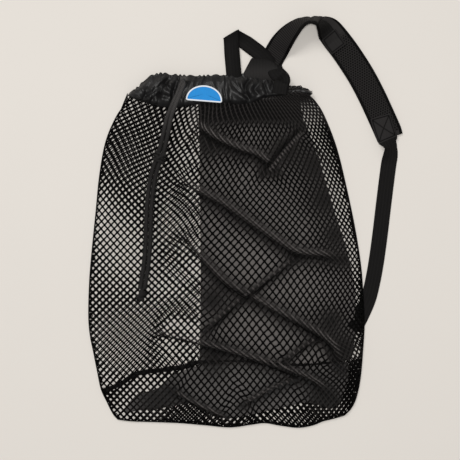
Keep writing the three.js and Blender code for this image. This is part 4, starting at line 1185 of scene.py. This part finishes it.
class BAG_OT_nets(Operator):
    """Front net with its folds, and the net strips beside and below the back panel"""

    bl_idname = "bag.nets"
    bl_label = "Nets"

    def execute(self, context):
        finish = shared("braided_net", net_finish, colours().net, sizes().net_pitch)
        cell = sizes().net_pitch / 2
        strand_width, height = sizes().strand_width, sizes().strand_height
        edge = even(np.vstack([LEFT_LINE[::-1], FOOT_LINE[1:], RIGHT_LINE[1:]]), 420)
        roll = np.column_stack([edge, np.full(len(edge), ROLL_LEVEL)])
        front = joined([
            lattice(front_shape, front_keep, cell, strand_width, height),
            tube(roll, ROLL_RADIUS, 6),
            lattice(ruffle_shape, ruffle_keep, cell, strand_width * 0.8, height),
        ])
        piece = dress("front_net", front, finish, "net", "net_front", light=light_of(front[0]))
        net_sheet(piece, SACK_OUTLINE, 1.06)
        seam_left = SEAM_LINE[SEAM_LINE[:, 0] < PANEL_LEFT_LINE[0, 0]]
        seam_right = SEAM_LINE[SEAM_LINE[:, 0] > PANEL_RIGHT_LINE[0, 0]]
        head_left = BACK_HEAD_LINE[BACK_HEAD_LINE[:, 0] < PANEL_LEFT_LINE[-1, 0]]
        head_right = BACK_HEAD_LINE[BACK_HEAD_LINE[:, 0] > PANEL_RIGHT_LINE[-1, 0]]
        left_above = LEFT_LINE[:, 1] > SEAM_LINE[0, 1]
        right_above = RIGHT_LINE[:, 1] > SEAM_LINE[-1, 1]
        # Name, node, seed and amount of drift, level, factor of the strands, outline
        strips = [
            ("left_net", "net_back_left", 5, 0.0034, BACK_LEVEL, 0.66,
             (seam_left, PANEL_LEFT_LINE, head_left[::-1], LEFT_LINE[left_above][::-1])),
            ("right_net", "net_back_right", 8, 0.0026, BACK_LEVEL * 3.3, 0.66,
             (seam_right, RIGHT_LINE[right_above], head_right[::-1], PANEL_RIGHT_LINE[::-1])),
            ("foot_net", "net_back_foot", 11, 0.0080, BACK_LEVEL, 1.3,
             (FOOT_LINE, RIGHT_LINE[~right_above], SEAM_LINE[::-1], LEFT_LINE[~left_above][::-1])),
        ]
        for name, node, seed, amount, level, factor, lines in strips:
            region = np.vstack(lines)
            shape = back_shape(seed, amount, level)
            skin = lattice(shape, back_keep(region), cell, strand_width * factor, height)
            net_sheet(dress(name, skin, finish, "net", node), region, 1.0)
        return {"FINISHED"}


# Back panel, base and binding

def cloth_patch(outline, spacing, relief, thickness):
    """Sheet of cloth in an outline: relief gives the height of its underside."""
    edge = np.vstack([outline, outline[:1]])
    run = run_along(edge)
    at = np.linspace(0, run[-1], int(run[-1] / spacing), endpoint=False)
    rim = np.stack([np.interp(at, run, edge[:, k]) for k in (0, 1)], axis=1)
    low, high = rim.min(axis=0), rim.max(axis=0)
    gx, gy = np.meshgrid(*[np.arange(low[k], high[k], spacing) for k in (0, 1)])
    grid = np.stack([gx.ravel(), gy.ravel()], axis=1)
    grid[:, 0] += (np.arange(len(grid)) // gx.shape[1] % 2) * spacing / 2
    grid = grid[inside(grid, rim)]
    distance, _, _, _ = nearest(grid, rim)
    grid = grid[distance > spacing * 0.6]
    flat = np.vstack([rim, grid])
    loop = [(k, (k + 1) % len(rim)) for k in range(len(rim))]
    spots, _, faces, *_ = delaunay_2d_cdt([Vector(p) for p in flat], loop, [], 1, 1e-7)
    spots = np.array([tuple(p) for p in spots])
    faces = np.array([tuple(f) for f in faces])
    level = relief(spots[:, 0], spots[:, 1])
    count = len(spots)
    both = np.vstack([spots, spots])
    points = np.column_stack([both, np.r_[level + thickness, level]])
    edges = np.concatenate([faces[:, [0, 1]], faces[:, [1, 2]], faces[:, [2, 0]]])
    walls = free_walls(edges, count).tolist()
    return points, faces.tolist() + (faces[:, ::-1] + count).tolist() + walls, both


def ripples(seed, amount, reach, base, count=16):
    """Relief of soft creases in seeded directions, never below base."""
    rng = np.random.default_rng(seed)
    waves = []
    for _ in range(count):
        waves.append((rng.normal(size=2) * reach, rng.uniform(0, 6.3), rng.uniform(0.4, 1)))

    def relief(x, y):
        total = np.zeros_like(x)
        for (wx, wy), phase, size in waves:
            total += size * (1 - np.abs(np.sin(x * wx + y * wy + phase))) ** 2
        return base + amount * np.clip(total / count * 2.2 - 0.35, 0, 1)
    return relief


def node_outline(node):
    """Outline of a flat node, as points from the middle of the sack's foot."""
    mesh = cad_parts[node].data
    level = max(v.co.z for v in mesh.vertices)
    flat = {}
    for face in mesh.polygons:
        spots = [mesh.vertices[k].co for k in face.vertices]
        if all(abs(p.z - level) < 1e-5 for p in spots):
            keys = [(round(p.x, 6), round(p.y, 6)) for p in spots]
            for a, b in zip(keys, keys[1:] + keys[:1]):
                if flat.get(b) and a in flat[b]:
                    flat[b].remove(a)
                else:
                    flat.setdefault(a, set()).add(b)
    follow = {a: next(iter(b)) for a, b in flat.items() if b}
    start = next(iter(follow))
    loop, spot = [], start
    while spot not in loop:
        loop.append(spot)
        spot = follow[spot]
    return np.array(loop) - ORIGIN[:2]


def binding_strip():
    """Ribbed tape over the base seam."""
    line = even(place([(-0.880, 0.1045), *BASE_SEAM[2:-2], (0.850, 0.188)]), 220)
    normal = left_of(unit(np.gradient(line, axis=0)))
    half = mix(0.0046, 0.0022, ramp(-0.075, -0.020, line[:, 0]))[:, None]
    low, thick, sides = 0.0024, 0.0015, 9
    top = np.linspace(-1, 1, sides)
    a = np.r_[top, top[::-1]]
    sign = np.repeat([1, -1], sides)
    level = low + thick * (0.5 + 0.5 * sign * np.sqrt(1 - np.abs(a) ** 4))
    side = a * half
    spots = line[:, None] + normal[:, None] * side[:, :, None]
    points = np.dstack([spots, np.broadcast_to(level, side.shape)]).reshape(-1, 3)
    return points, closed(len(line), 2 * sides), cloth_map(side, run_along(line))


class BAG_OT_cloth(Operator):
    """Back panel, coated base cloth and the binding over its seam"""

    bl_idname = "bag.cloth"
    bl_label = "Panel and base"

    def execute(self, context):
        spacing = sizes().cloth_spacing
        # The panel's foot goes on under the base's seam, and its head under the hem
        outline = node_outline("back_panel")
        low = outline[:, 1] < row_at(SEAM_LINE, outline[:, 0]) + 0.012
        outline[low, 1] -= 0.006
        outline[outline[:, 1] > 0.89 * SACK_LENGTH, 1] += 0.007
        relief = ripples(seed=2, amount=0.0028, reach=34, base=0.0002)
        skin = cloth_patch(outline, spacing, relief, CLOTH_THICKNESS)
        finish = shared(
            "panel_cloth", cloth_finish, colours().panel,
            roughness=0.85, pitch=0.0016, depth=0.0003, specular=0.2, worn=True)
        # Painted shade on the panel under the net's folds, in the listed places and towards the hem
        wear = wear_of(skin[0])
        panel = dress("back_cloth", skin, finish, "panel_cloth", "back_panel", wear=wear)
        # The base comes up over its seam, and hangs down further in the middle of the foot
        outline = node_outline("base_panel")
        high = outline[:, 1] > row_at(SEAM_LINE, outline[:, 0]) - 0.012
        outline[high, 1] += 0.004
        foot = row_at(FOOT_LINE, outline[:, 0])
        x, y = outline.T
        sag = (y < foot + 0.035) & (x > -0.085) & (x < 0.06)
        outline[sag, 1] = np.maximum(y[sag] - 0.009, foot[sag] + 0.003)
        relief = ripples(seed=4, amount=0.0030, reach=60, base=0.0024)
        skin = cloth_patch(outline, spacing, relief, CLOTH_THICKNESS)
        finish = shared(
            "base_cloth", cloth_finish, colours().base,
            roughness=0.6, pitch=0.0014, depth=0.0002, specular=0.2, worn=True)
        # Painted shade on the base, as on the panel
        wear = wear_of(skin[0])
        base = dress("base_cloth", skin, finish, "panel_cloth", "base_panel", wear=wear)
        finish = shared("webbing", webbing_finish, colours().webbing)
        dress("seam_binding", binding_strip(), finish, "webbing", "base_binding")
        return {"FINISHED"}


# Gathered hem

def hem_row(low, high, x, share):
    return mix(row_at(place(low), x), row_at(place(high), x), share)


def calm(x, middle, start, end):
    return ramp(start, end, np.abs(x / HALF_WIDTH - middle))


def pleat_relief(x, share, count):
    """Gathers of the hem's front at a share of the way from its foot to its top."""
    rng = np.random.default_rng(12)
    relief = np.zeros_like(x)
    left, right = -0.19, 0.17
    for k in range(count):
        at = mix(left, right, (k + rng.uniform(0.1, 0.9)) / count)
        slant = rng.uniform(-0.024, 0.024)
        wide = rng.uniform(0.0020, 0.0058)
        tall = rng.uniform(0.0010, 0.0036)
        middle, long = rng.uniform(0.1, 1.0), rng.uniform(0.35, 0.9)
        away = np.abs(x - at - slant * (share - 0.5) - 0.0012 * np.sin(share * 9 + k))
        relief += tall * np.exp(-(away / wide) ** 1.4) * bell(share - middle, long)
    return relief


def crease_relief(points):
    relief = np.zeros(len(points))
    for route, depth in HEM_CREASES:
        distance, along, _, _ = beside(points, route, 40)
        ends = faded(along, 0.12)
        relief -= depth * np.exp(-distance / 0.0034) * (0.35 + 0.65 * ends)
        relief += depth * 0.45 * bell(distance - 0.008, 0.005) * ends
    return relief


def hem_front(x, share):
    """One row of the hem's front, with its gathers and creases."""
    y = hem_row(HEM_FRONT_FOOT, HEM_FRONT_TOP, x, share)
    puff = math.sin(math.pi * min(1, share * 1.04)) ** 0.7 if 0 < share < 0.96 else 0.0
    window = calm(x, LABEL_PLACE[0], 0.145, 0.20) * calm(x, 0.392, 0.07, 0.12)
    pleats = pleat_relief(x, share, sizes().pleats) - 0.0012
    relief = pleats * mix(0.8, 0.38, ramp(-0.012, 0.006, x))
    relief += 1.25 * crease_relief(np.stack([x, y], axis=1))
    z = hem_height(share) + HEM_PUFF * puff + relief * window
    z += np.minimum(pleats - 0.0024, 0) * (1 - window)
    z += EXIT_BULGE * bell(np.hypot(x - CORD_EXIT[0], y - CORD_EXIT[1]), EXIT_REACH)
    edge = ramp(0.75, 1, share)
    y += edge * 0.0016 * np.sin(x * 520 + 2.2 * np.sin(x * 140))
    return np.stack([x, y, z - edge * 0.0035], axis=1)


def hem_height(share):
    return HEM_HEIGHT * mix(1, 0.82, ramp(0.4, 1.0, share))


def hem_skin():
    """Stations round the ring by rows from its foot to its top."""
    rows = []
    for share in np.linspace(0, 1, HEM_ROWS):
        radius = hem_height(share) / 2
        x0 = mix(HEM_FRONT_FOOT[0][0], HEM_FRONT_TOP[0][0], share) * HALF_WIDTH
        x1 = mix(HEM_FRONT_FOOT[-1][0], HEM_FRONT_TOP[-1][0], share) * HALF_WIDTH
        front = hem_front(np.linspace(x0 + radius, x1 - radius, HEM_FRONT), share)
        angle = np.linspace(math.pi / 2, -math.pi / 2, HEM_END + 2)[1:-1]
        ends = []
        for side, turn in ((1, x1 - radius), (-1, x0 + radius)):
            ex = turn + side * radius * np.cos(angle)
            front_y = hem_row(HEM_FRONT_FOOT, HEM_FRONT_TOP, ex, share)
            back_y = hem_row(HEM_BACK_FOOT, HEM_BACK_TOP, ex, share)
            ey = mix(back_y, front_y, (1 + np.sin(angle)) / 2)
            ends.append(np.stack([ex, ey, radius + radius * np.sin(angle)], axis=1))
        bx = np.linspace(x1 - radius, x0 + radius, HEM_BACK)
        by = hem_row(HEM_BACK_FOOT, HEM_BACK_TOP, bx, share)
        back = np.stack([bx, by, np.full_like(bx, CLEARANCE)], axis=1)
        row = np.vstack([front, ends[0], back, ends[1][::-1]])
        sewn = np.clip((net_level(row[:, 0], row[:, 1]) + 0.0014) / HEM_HEIGHT, 0.2, 1)
        row[:, 2] *= mix(sewn, 1.0, ramp(0, 0.13, share))
        rows.append(row)
    return np.array(rows)


def hem_ring():
    """The hem's cloth: its outer skin, an inner one, and the rims between them."""
    outer = hem_skin()
    inner = outer.copy()
    least, most = outer[:, :, 0].min(axis=1), outer[:, :, 0].max(axis=1)
    middle, half = [(part / 2)[:, None] for part in (most + least, most - least)]
    inner[:, :, 0] = middle + (outer[:, :, 0] - middle) * (1 - HEM_CLOTH / half)
    level = HEM_HEIGHT / 2
    inner[:, :, 2] = level + (outer[:, :, 2] - level) * (1 - HEM_CLOTH / level)
    rows, columns = outer.shape[:2]
    count = rows * columns
    faces = ring_faces(rows, columns)
    around = np.arange(columns)
    after = np.roll(around, -1)
    top = (rows - 1) * columns
    rims = [
        np.stack([after, around, around + count, after + count], axis=1),
        np.stack([around, after, after + count, around + count], axis=1) + top,
    ]
    skin = np.vstack([outer.reshape(-1, 3), inner.reshape(-1, 3)])
    uv = outer[:, :, :2].reshape(-1, 2)
    return skin, np.vstack([faces, faces[:, ::-1] + count, *rims]), np.vstack([uv, uv])


class BAG_OT_hem(Operator):
    """Hem of gathered nylon with the channel of the drawcord"""

    bl_idname = "bag.hem"
    bl_label = "Hem"

    def execute(self, context):
        finish = shared(
            "hem_nylon", cloth_finish, colours().nylon,
            roughness=0.38, pitch=0.0009, depth=0.0001, specular=0.38)
        hem = dress("gathered_hem", hem_ring(), finish, "nylon", "hem_channel")
        return {"FINISHED"}


# Label

def label_plate():
    """Half-moon plate: a raised rim round a plain face. Points, faces, material of each face."""
    width, rise, skirt, thick = 0.072, 0.029, 0.003, 0.0014
    half = width / 2
    angle = np.linspace(0, math.pi, 61)
    arc = np.stack([half * np.cos(angle), rise * np.sin(angle)], axis=1)
    lower = [(-half + skirt * 0.4, -skirt * 0.7), (-half + skirt * 1.3, -skirt)]
    lower += [(x, -skirt) for x in np.linspace(-half + 2 * skirt, half - 2 * skirt, 21)]
    lower += [(half - skirt * 1.3, -skirt), (half - skirt * 0.4, -skirt * 0.7)]
    outline = np.vstack([arc, lower])
    inward = unit(left_of(np.roll(outline, -1, axis=0) - np.roll(outline, 1, axis=0)))
    count = len(outline)
    # Inset and level of each ring: three bands of rim, then two of face
    rings = [
        (0.0, 0.0), (0.0, thick - 0.0004), (0.0005, thick), (0.0028, thick),
        (0.0034, thick - 0.0005), (0.0050, thick - 0.0005),
    ]
    points = []
    for inset, level in rings:
        points.append(np.column_stack([outline + inward * inset, np.full(count, level)]))
    points.append([[0.0, rise * 0.42, thick - 0.0004], [0.0, rise * 0.42, 0.0]])
    last, centre = (len(rings) - 1) * count, len(rings) * count
    a = np.arange(count)
    b = np.roll(a, -1)
    faces = ring_faces(len(rings), count).tolist()
    faces += np.stack([last + a, last + b, np.full(count, centre)], axis=1).tolist()
    faces += np.stack([b, a, np.full(count, centre + 1)], axis=1).tolist()
    return np.vstack(points), faces, np.repeat([0, 0, 0, 1, 1, 1, 0], count)


class BAG_OT_label(Operator):
    """Plain half-moon label with a pale rim"""

    bl_idname = "bag.label"
    bl_label = "Label"

    def execute(self, context):
        points, faces, kinds = label_plate()
        x, y, z = points.T
        flat = turned(x, y, math.radians(LABEL_TURN)) + place([LABEL_PLACE])[0]
        level = HEM_HEIGHT + HEM_PUFF + CLEARANCE
        finishes = [
            shared("label_rim", label_finish, colours().label_rim, 0.6),
            shared("label_face", label_finish, colours().label, 0.62),
        ]
        spots = np.column_stack([flat, z + level])
        label = add_mesh("label_plate", spots, faces, points[:, :2], finishes, kinds)
        on_bag(label, "label", "hem_label")
        return {"FINISHED"}


# Straps

def flat_frames(rows, steps, start=0.0, end=1.0, tilt_column=None):
    """Frames along a route: share, middle, directions across and up, and tilt of each step."""
    shares = mix(start, end, np.linspace(0, 1, steps + 1))
    xy = spline(place(rows), shares)
    none = np.zeros(len(xy))
    tilt = none if tilt_column is None else np.radians(column(rows, tilt_column, shares))
    flat = np.column_stack([-left_of(unit(np.gradient(xy, axis=0))), none])
    c, s = np.cos(tilt)[:, None], np.sin(tilt)[:, None]
    return shares, np.column_stack([xy, none]), flat * c + UP * s, UP * c - flat * s, tilt


def section_skin(centre, across, up, side, level):
    """Skin of a section through frames: side and level of each of its points."""
    points = centre[:, None] + across[:, None] * side[:, :, None] + up[:, None] * level[:, :, None]
    return points.reshape(-1, 3), closed(*side.shape), cloth_map(side, run_along(centre))


def band(centre, across, up, width, thickness, sides=7):
    """Flat webbing with soft edges through frames. width may be one value or one a frame."""
    half = np.broadcast_to(np.asarray(width, float) / 2, (len(centre),))[:, None]
    a = np.linspace(-1, 1, sides)
    drop = np.sqrt(np.clip(1 - np.abs(a) ** 10, 0.02, 1)) * thickness / 2
    side = np.r_[a, a[::-1]] * half
    level = np.broadcast_to(np.r_[drop, -drop[::-1]], side.shape)
    return section_skin(centre, across, up, side, level)


def pad_frames(steps, start=0.0, end=1.0):
    shares, centre, across, up, tilt = flat_frames(PAD_ROUTE, steps, start, end, 4)
    width = PAD_WIDTH * column(PAD_ROUTE, 2, shares)
    thickness = PAD_THICKNESS * column(PAD_ROUTE, 3, shares)
    centre[:, 2] = width / 2 * np.sin(tilt) + thickness / 2 * np.cos(tilt)
    return shares, centre, across, up, width, thickness


def dimples(a, run):
    """Depth of the air mesh's holes on a staggered grid."""
    pitch, radius = 0.0052, 0.0019
    row_pitch = pitch * 0.866
    row = run / row_pitch
    near = np.zeros(np.broadcast(a, run).shape)
    for shift in (0, 1):
        dy = (row - np.round((row - shift) / 2) * 2 - shift) * row_pitch
        at = a / pitch + 0.5 * shift
        dx = (at - np.round(at)) * pitch
        near = np.maximum(near, np.exp(-(dx**2 + dy**2) / radius**2))
    return near


def padded_strap():
    """Skin of the pad, its painted shade in the holes, between the ribs and in the groove by the
    edge tape, and its painted highlight on the air-mesh field.
    """
    shares, centre, across, up, width, thickness = pad_frames(PAD_STEPS)
    run = run_along(centre)[:, None]
    low = np.linspace(1, -1, PAD_LOW)[1:-1]
    a = np.r_[np.linspace(-1, 1, PAD_TOP), low]
    sign = np.r_[np.ones(PAD_TOP), -np.ones(len(low))]
    top = sign > 0
    half = (width / 2)[:, None]
    side = a * half
    level = sign * (thickness / 2)[:, None] * np.sqrt(np.clip(1 - np.abs(a) ** 5, 0.0, 1))
    tape = np.abs(side) - (half - PAD_EDGE_TAPE)
    field = ramp(-0.0010, -0.0022, tape) * top
    shares = shares[:, None]
    arm = ramp(0.60, 0.63, shares) * (1 - ramp(0.955, 0.965, shares))
    holes = dimples(side, run) * field * arm
    ribs = 0.5 + 0.5 * np.sin(run * (2 * math.pi / 0.0040) + side * 260)
    ribs = ribs * field * (1 - ramp(0.36, 0.44, shares))
    wrinkle = 0.0020 * bell(shares - 0.40, 0.012) + 0.0014 * bell(shares - 0.47, 0.010)
    level -= 0.0009 * bell(tape, 0.0011) * sign + 0.0016 * holes + 0.0010 * ribs + wrinkle * top
    edge = bell(tape - 0.0005, 0.0013) * top
    # Painted shade in the holes, ribs and edge groove; painted highlight over the field, strongest
    # on the arm, left off at the wrinkles
    mark = np.clip(holes * 1.3 + ribs * 0.70 + edge, 0, 1).ravel()
    light = 0.95 * field * (0.35 + 0.65 * arm) + 0.48 * (wrinkle < 0.0004) * (1 - arm) * field
    return section_skin(centre, across, up, side, level), mark, np.clip(light, 0, 1).ravel()


def stitched(uv, width, length, cross=False):
    """Marks of a stitched frame, and of the cross in it, on a band's first length."""
    side, run = uv.T
    frame_off = np.minimum(np.minimum(run, length - run), width / 2 - np.abs(side)) - STITCH_INSET
    mark = bell(frame_off, STITCH_WIDTH) * (run < length + 0.001)
    if cross:
        a = side / (width / 2 - STITCH_INSET)
        b = (run - length / 2) / (length / 2 - STITCH_INSET)
        inner = (np.abs(a) < 1) & (np.abs(b) < 1)
        mark = np.maximum(mark, inner * bell(np.minimum(np.abs(a - b), np.abs(a + b)), 0.075))
    return np.clip(mark, 0, 1)


def on_pad(from_step, to_step, width, lift):
    """Band on the pad between two of the frame's 36 steps."""
    _, centre, across, up, _, thickness = pad_frames(60, from_step / 36, to_step / 36)
    centre = centre + up * (thickness / 2 + lift)[:, None] + across * (0.15 * PAD_WIDTH)
    return band(centre, across, up, width, PAD_BAND_THICKNESS, 21)


def strap_band():
    shares, centre, across, up, tilt = flat_frames(STRAP_ROUTE, 420, tilt_column=3)
    lift = column(STRAP_ROUTE, 2, shares) * (PAD_THICKNESS + CLEARANCE * 2)
    centre[:, 2] = lift + WEBBING_WIDTH / 2 * np.sin(tilt) + WEBBING_THICKNESS / 2 * np.cos(tilt)
    wide = 1 - ramp(END_PATCH[1], END_PATCH[1] + 0.010, run_along(centre))
    return band(centre, across, up, mix(WEBBING_WIDTH, END_PATCH[0], wide), BAND_THICKNESS, 25)


def handle_leg(rows, steps):
    """Middle and direction across of a leg of the handle."""
    shares = np.linspace(0, 1, steps)
    turn = np.radians(column(rows, 3, shares))
    across = np.stack([np.cos(turn), np.sin(turn), np.zeros(steps)], axis=1)
    level = column(rows, 2, shares) * HANDLE_LEVEL
    return np.column_stack([spline(place(rows), shares), level]), across


def handle_band():
    """Rising leg, oblique crease and the leg that comes back under it."""
    steps = (40, 14, 30)
    rise, rise_across = handle_leg(HANDLE_RISE, steps[0])
    back, back_across = handle_leg(HANDLE_RETURN, steps[2])
    low = WEBBING_THICKNESS / 2 + CLEARANCE
    middle, radius = (HANDLE_LEVEL + low) / 2, (HANDLE_LEVEL - low) / 2
    turn = math.radians(HANDLE_CREASE[2])
    cross = np.array([math.cos(turn), math.sin(turn), 0.0])
    out = np.array([-cross[1], cross[0], 0.0])
    angle = np.radians(np.linspace(85, -85, steps[1]))[:, None]
    direction = out * np.cos(angle) + UP * np.sin(angle)
    bend = np.append(place([HANDLE_CREASE])[0], middle) + direction * radius
    across = np.vstack([rise_across, np.tile(cross, (steps[1], 1)), back_across])
    ups = np.vstack([np.tile(UP, (steps[0], 1)), direction, np.tile(-UP, (steps[2], 1))])
    width = np.repeat([WEBBING_WIDTH, WEBBING_WIDTH / math.cos(turn), WEBBING_WIDTH], steps)
    return band(np.vstack([rise, bend, back]), across, ups, width, BAND_THICKNESS)


def tab_band():
    shares, centre, across, up, _ = flat_frames(TAB_ROUTE, 40)
    centre[:, 2] = column(TAB_ROUTE, 2, shares) * HEM_HEIGHT
    return band(centre, across, up, WEBBING_WIDTH, BAND_THICKNESS)


class BAG_OT_straps(Operator):
    """Padded strap, its webbing, the grab handle, the anchor patch and the hem tab"""

    bl_idname = "bag.straps"
    bl_label = "Straps and handle"

    def execute(self, context):
        webbing = shared("webbing", webbing_finish, colours().webbing)
        mesh = shared("air_mesh", pad_finish, colours().pad)
        skin, mark, light = padded_strap()
        pad = dress("padded_strap", skin, mesh, "pad_mesh", "shoulder_pad", mark=mark, light=light)
        dress("pad_band", on_pad(17, 23, WEBBING_WIDTH, 0.0012), webbing, "webbing", "pad_webbing")
        skin = on_pad(20.6, 23.5, PATCH_WIDTH, 0.0030)
        side, run = skin[2].T
        dress("pad_keeper", skin, webbing, "webbing", "pad_patch",
              mark=stitched(skin[2], PATCH_WIDTH, run.max()), light=np.full(len(run), 0.35))
        skin = strap_band()
        side, run = skin[2].T
        dress("lower_webbing", skin, webbing, "webbing", "strap_webbing",
              mark=stitched(skin[2], *END_PATCH, cross=True), light=0.45 * (run < END_PATCH[1]))
        skin = handle_band()
        side, run = skin[2].T
        dress("handle_webbing", skin, webbing, "webbing", "grab_handle",
              mark=0.22 + 0.45 * bell(run - 0.125, 0.016), light=0.10 * bell(side + 0.006, 0.006))
        dress("hem_webbing", tab_band(), webbing, "webbing", "hem_tab")
        low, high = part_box("strap_anchor")
        relief = ripples(seed=0, amount=0, reach=0, base=low.z + 0.0002)
        skin = cloth_patch(node_outline("strap_anchor"), 0.004, relief, high.z - low.z - 0.0003)
        run = skin[2][:, 1]
        share = (run - run.min()) / np.ptp(run)
        # Painted sheen across the middle of the patch and painted shadow along its lowest edge
        dress("anchor_patch", skin, webbing, "webbing", "strap_anchor",
              light=0.45 * bell(share - 0.45, 0.35), mark=0.9 * (1 - ramp(0.0, 0.14, share)))
        return {"FINISHED"}


class BAG_PT_panel(Panel):
    """Steps and settings of the gear bag"""

    bl_label = "Gear bag"
    bl_idname = "BAG_PT_panel"
    bl_space_type = "VIEW_3D"
    bl_region_type = "UI"
    bl_category = "Gear bag"

    def draw(self, context):
        for step in STEPS:
            self.layout.operator(step.bl_idname)
        for group in (context.scene.bag_sizes, context.scene.bag_colours):
            for key in group.__annotations__:
                self.layout.prop(group, key)


STEPS = (
    BAG_OT_stage, BAG_OT_drawcord, BAG_OT_nets, BAG_OT_cloth, BAG_OT_hem, BAG_OT_label,
    BAG_OT_straps,
)
CLASSES = (BagSizes, BagColours, *STEPS, BAG_PT_panel)


def register():
    for item in CLASSES:
        bpy.utils.register_class(item)
    bpy.types.Scene.bag_sizes = PointerProperty(type=BagSizes)
    bpy.types.Scene.bag_colours = PointerProperty(type=BagColours)


def unregister():
    del bpy.types.Scene.bag_colours
    del bpy.types.Scene.bag_sizes
    for item in reversed(CLASSES):
        bpy.utils.unregister_class(item)


def main():
    register()
    for step in STEPS:
        group, name = step.bl_idname.split(".")
        getattr(getattr(bpy.ops, group), name)()


if __name__ == "__main__":
    main()
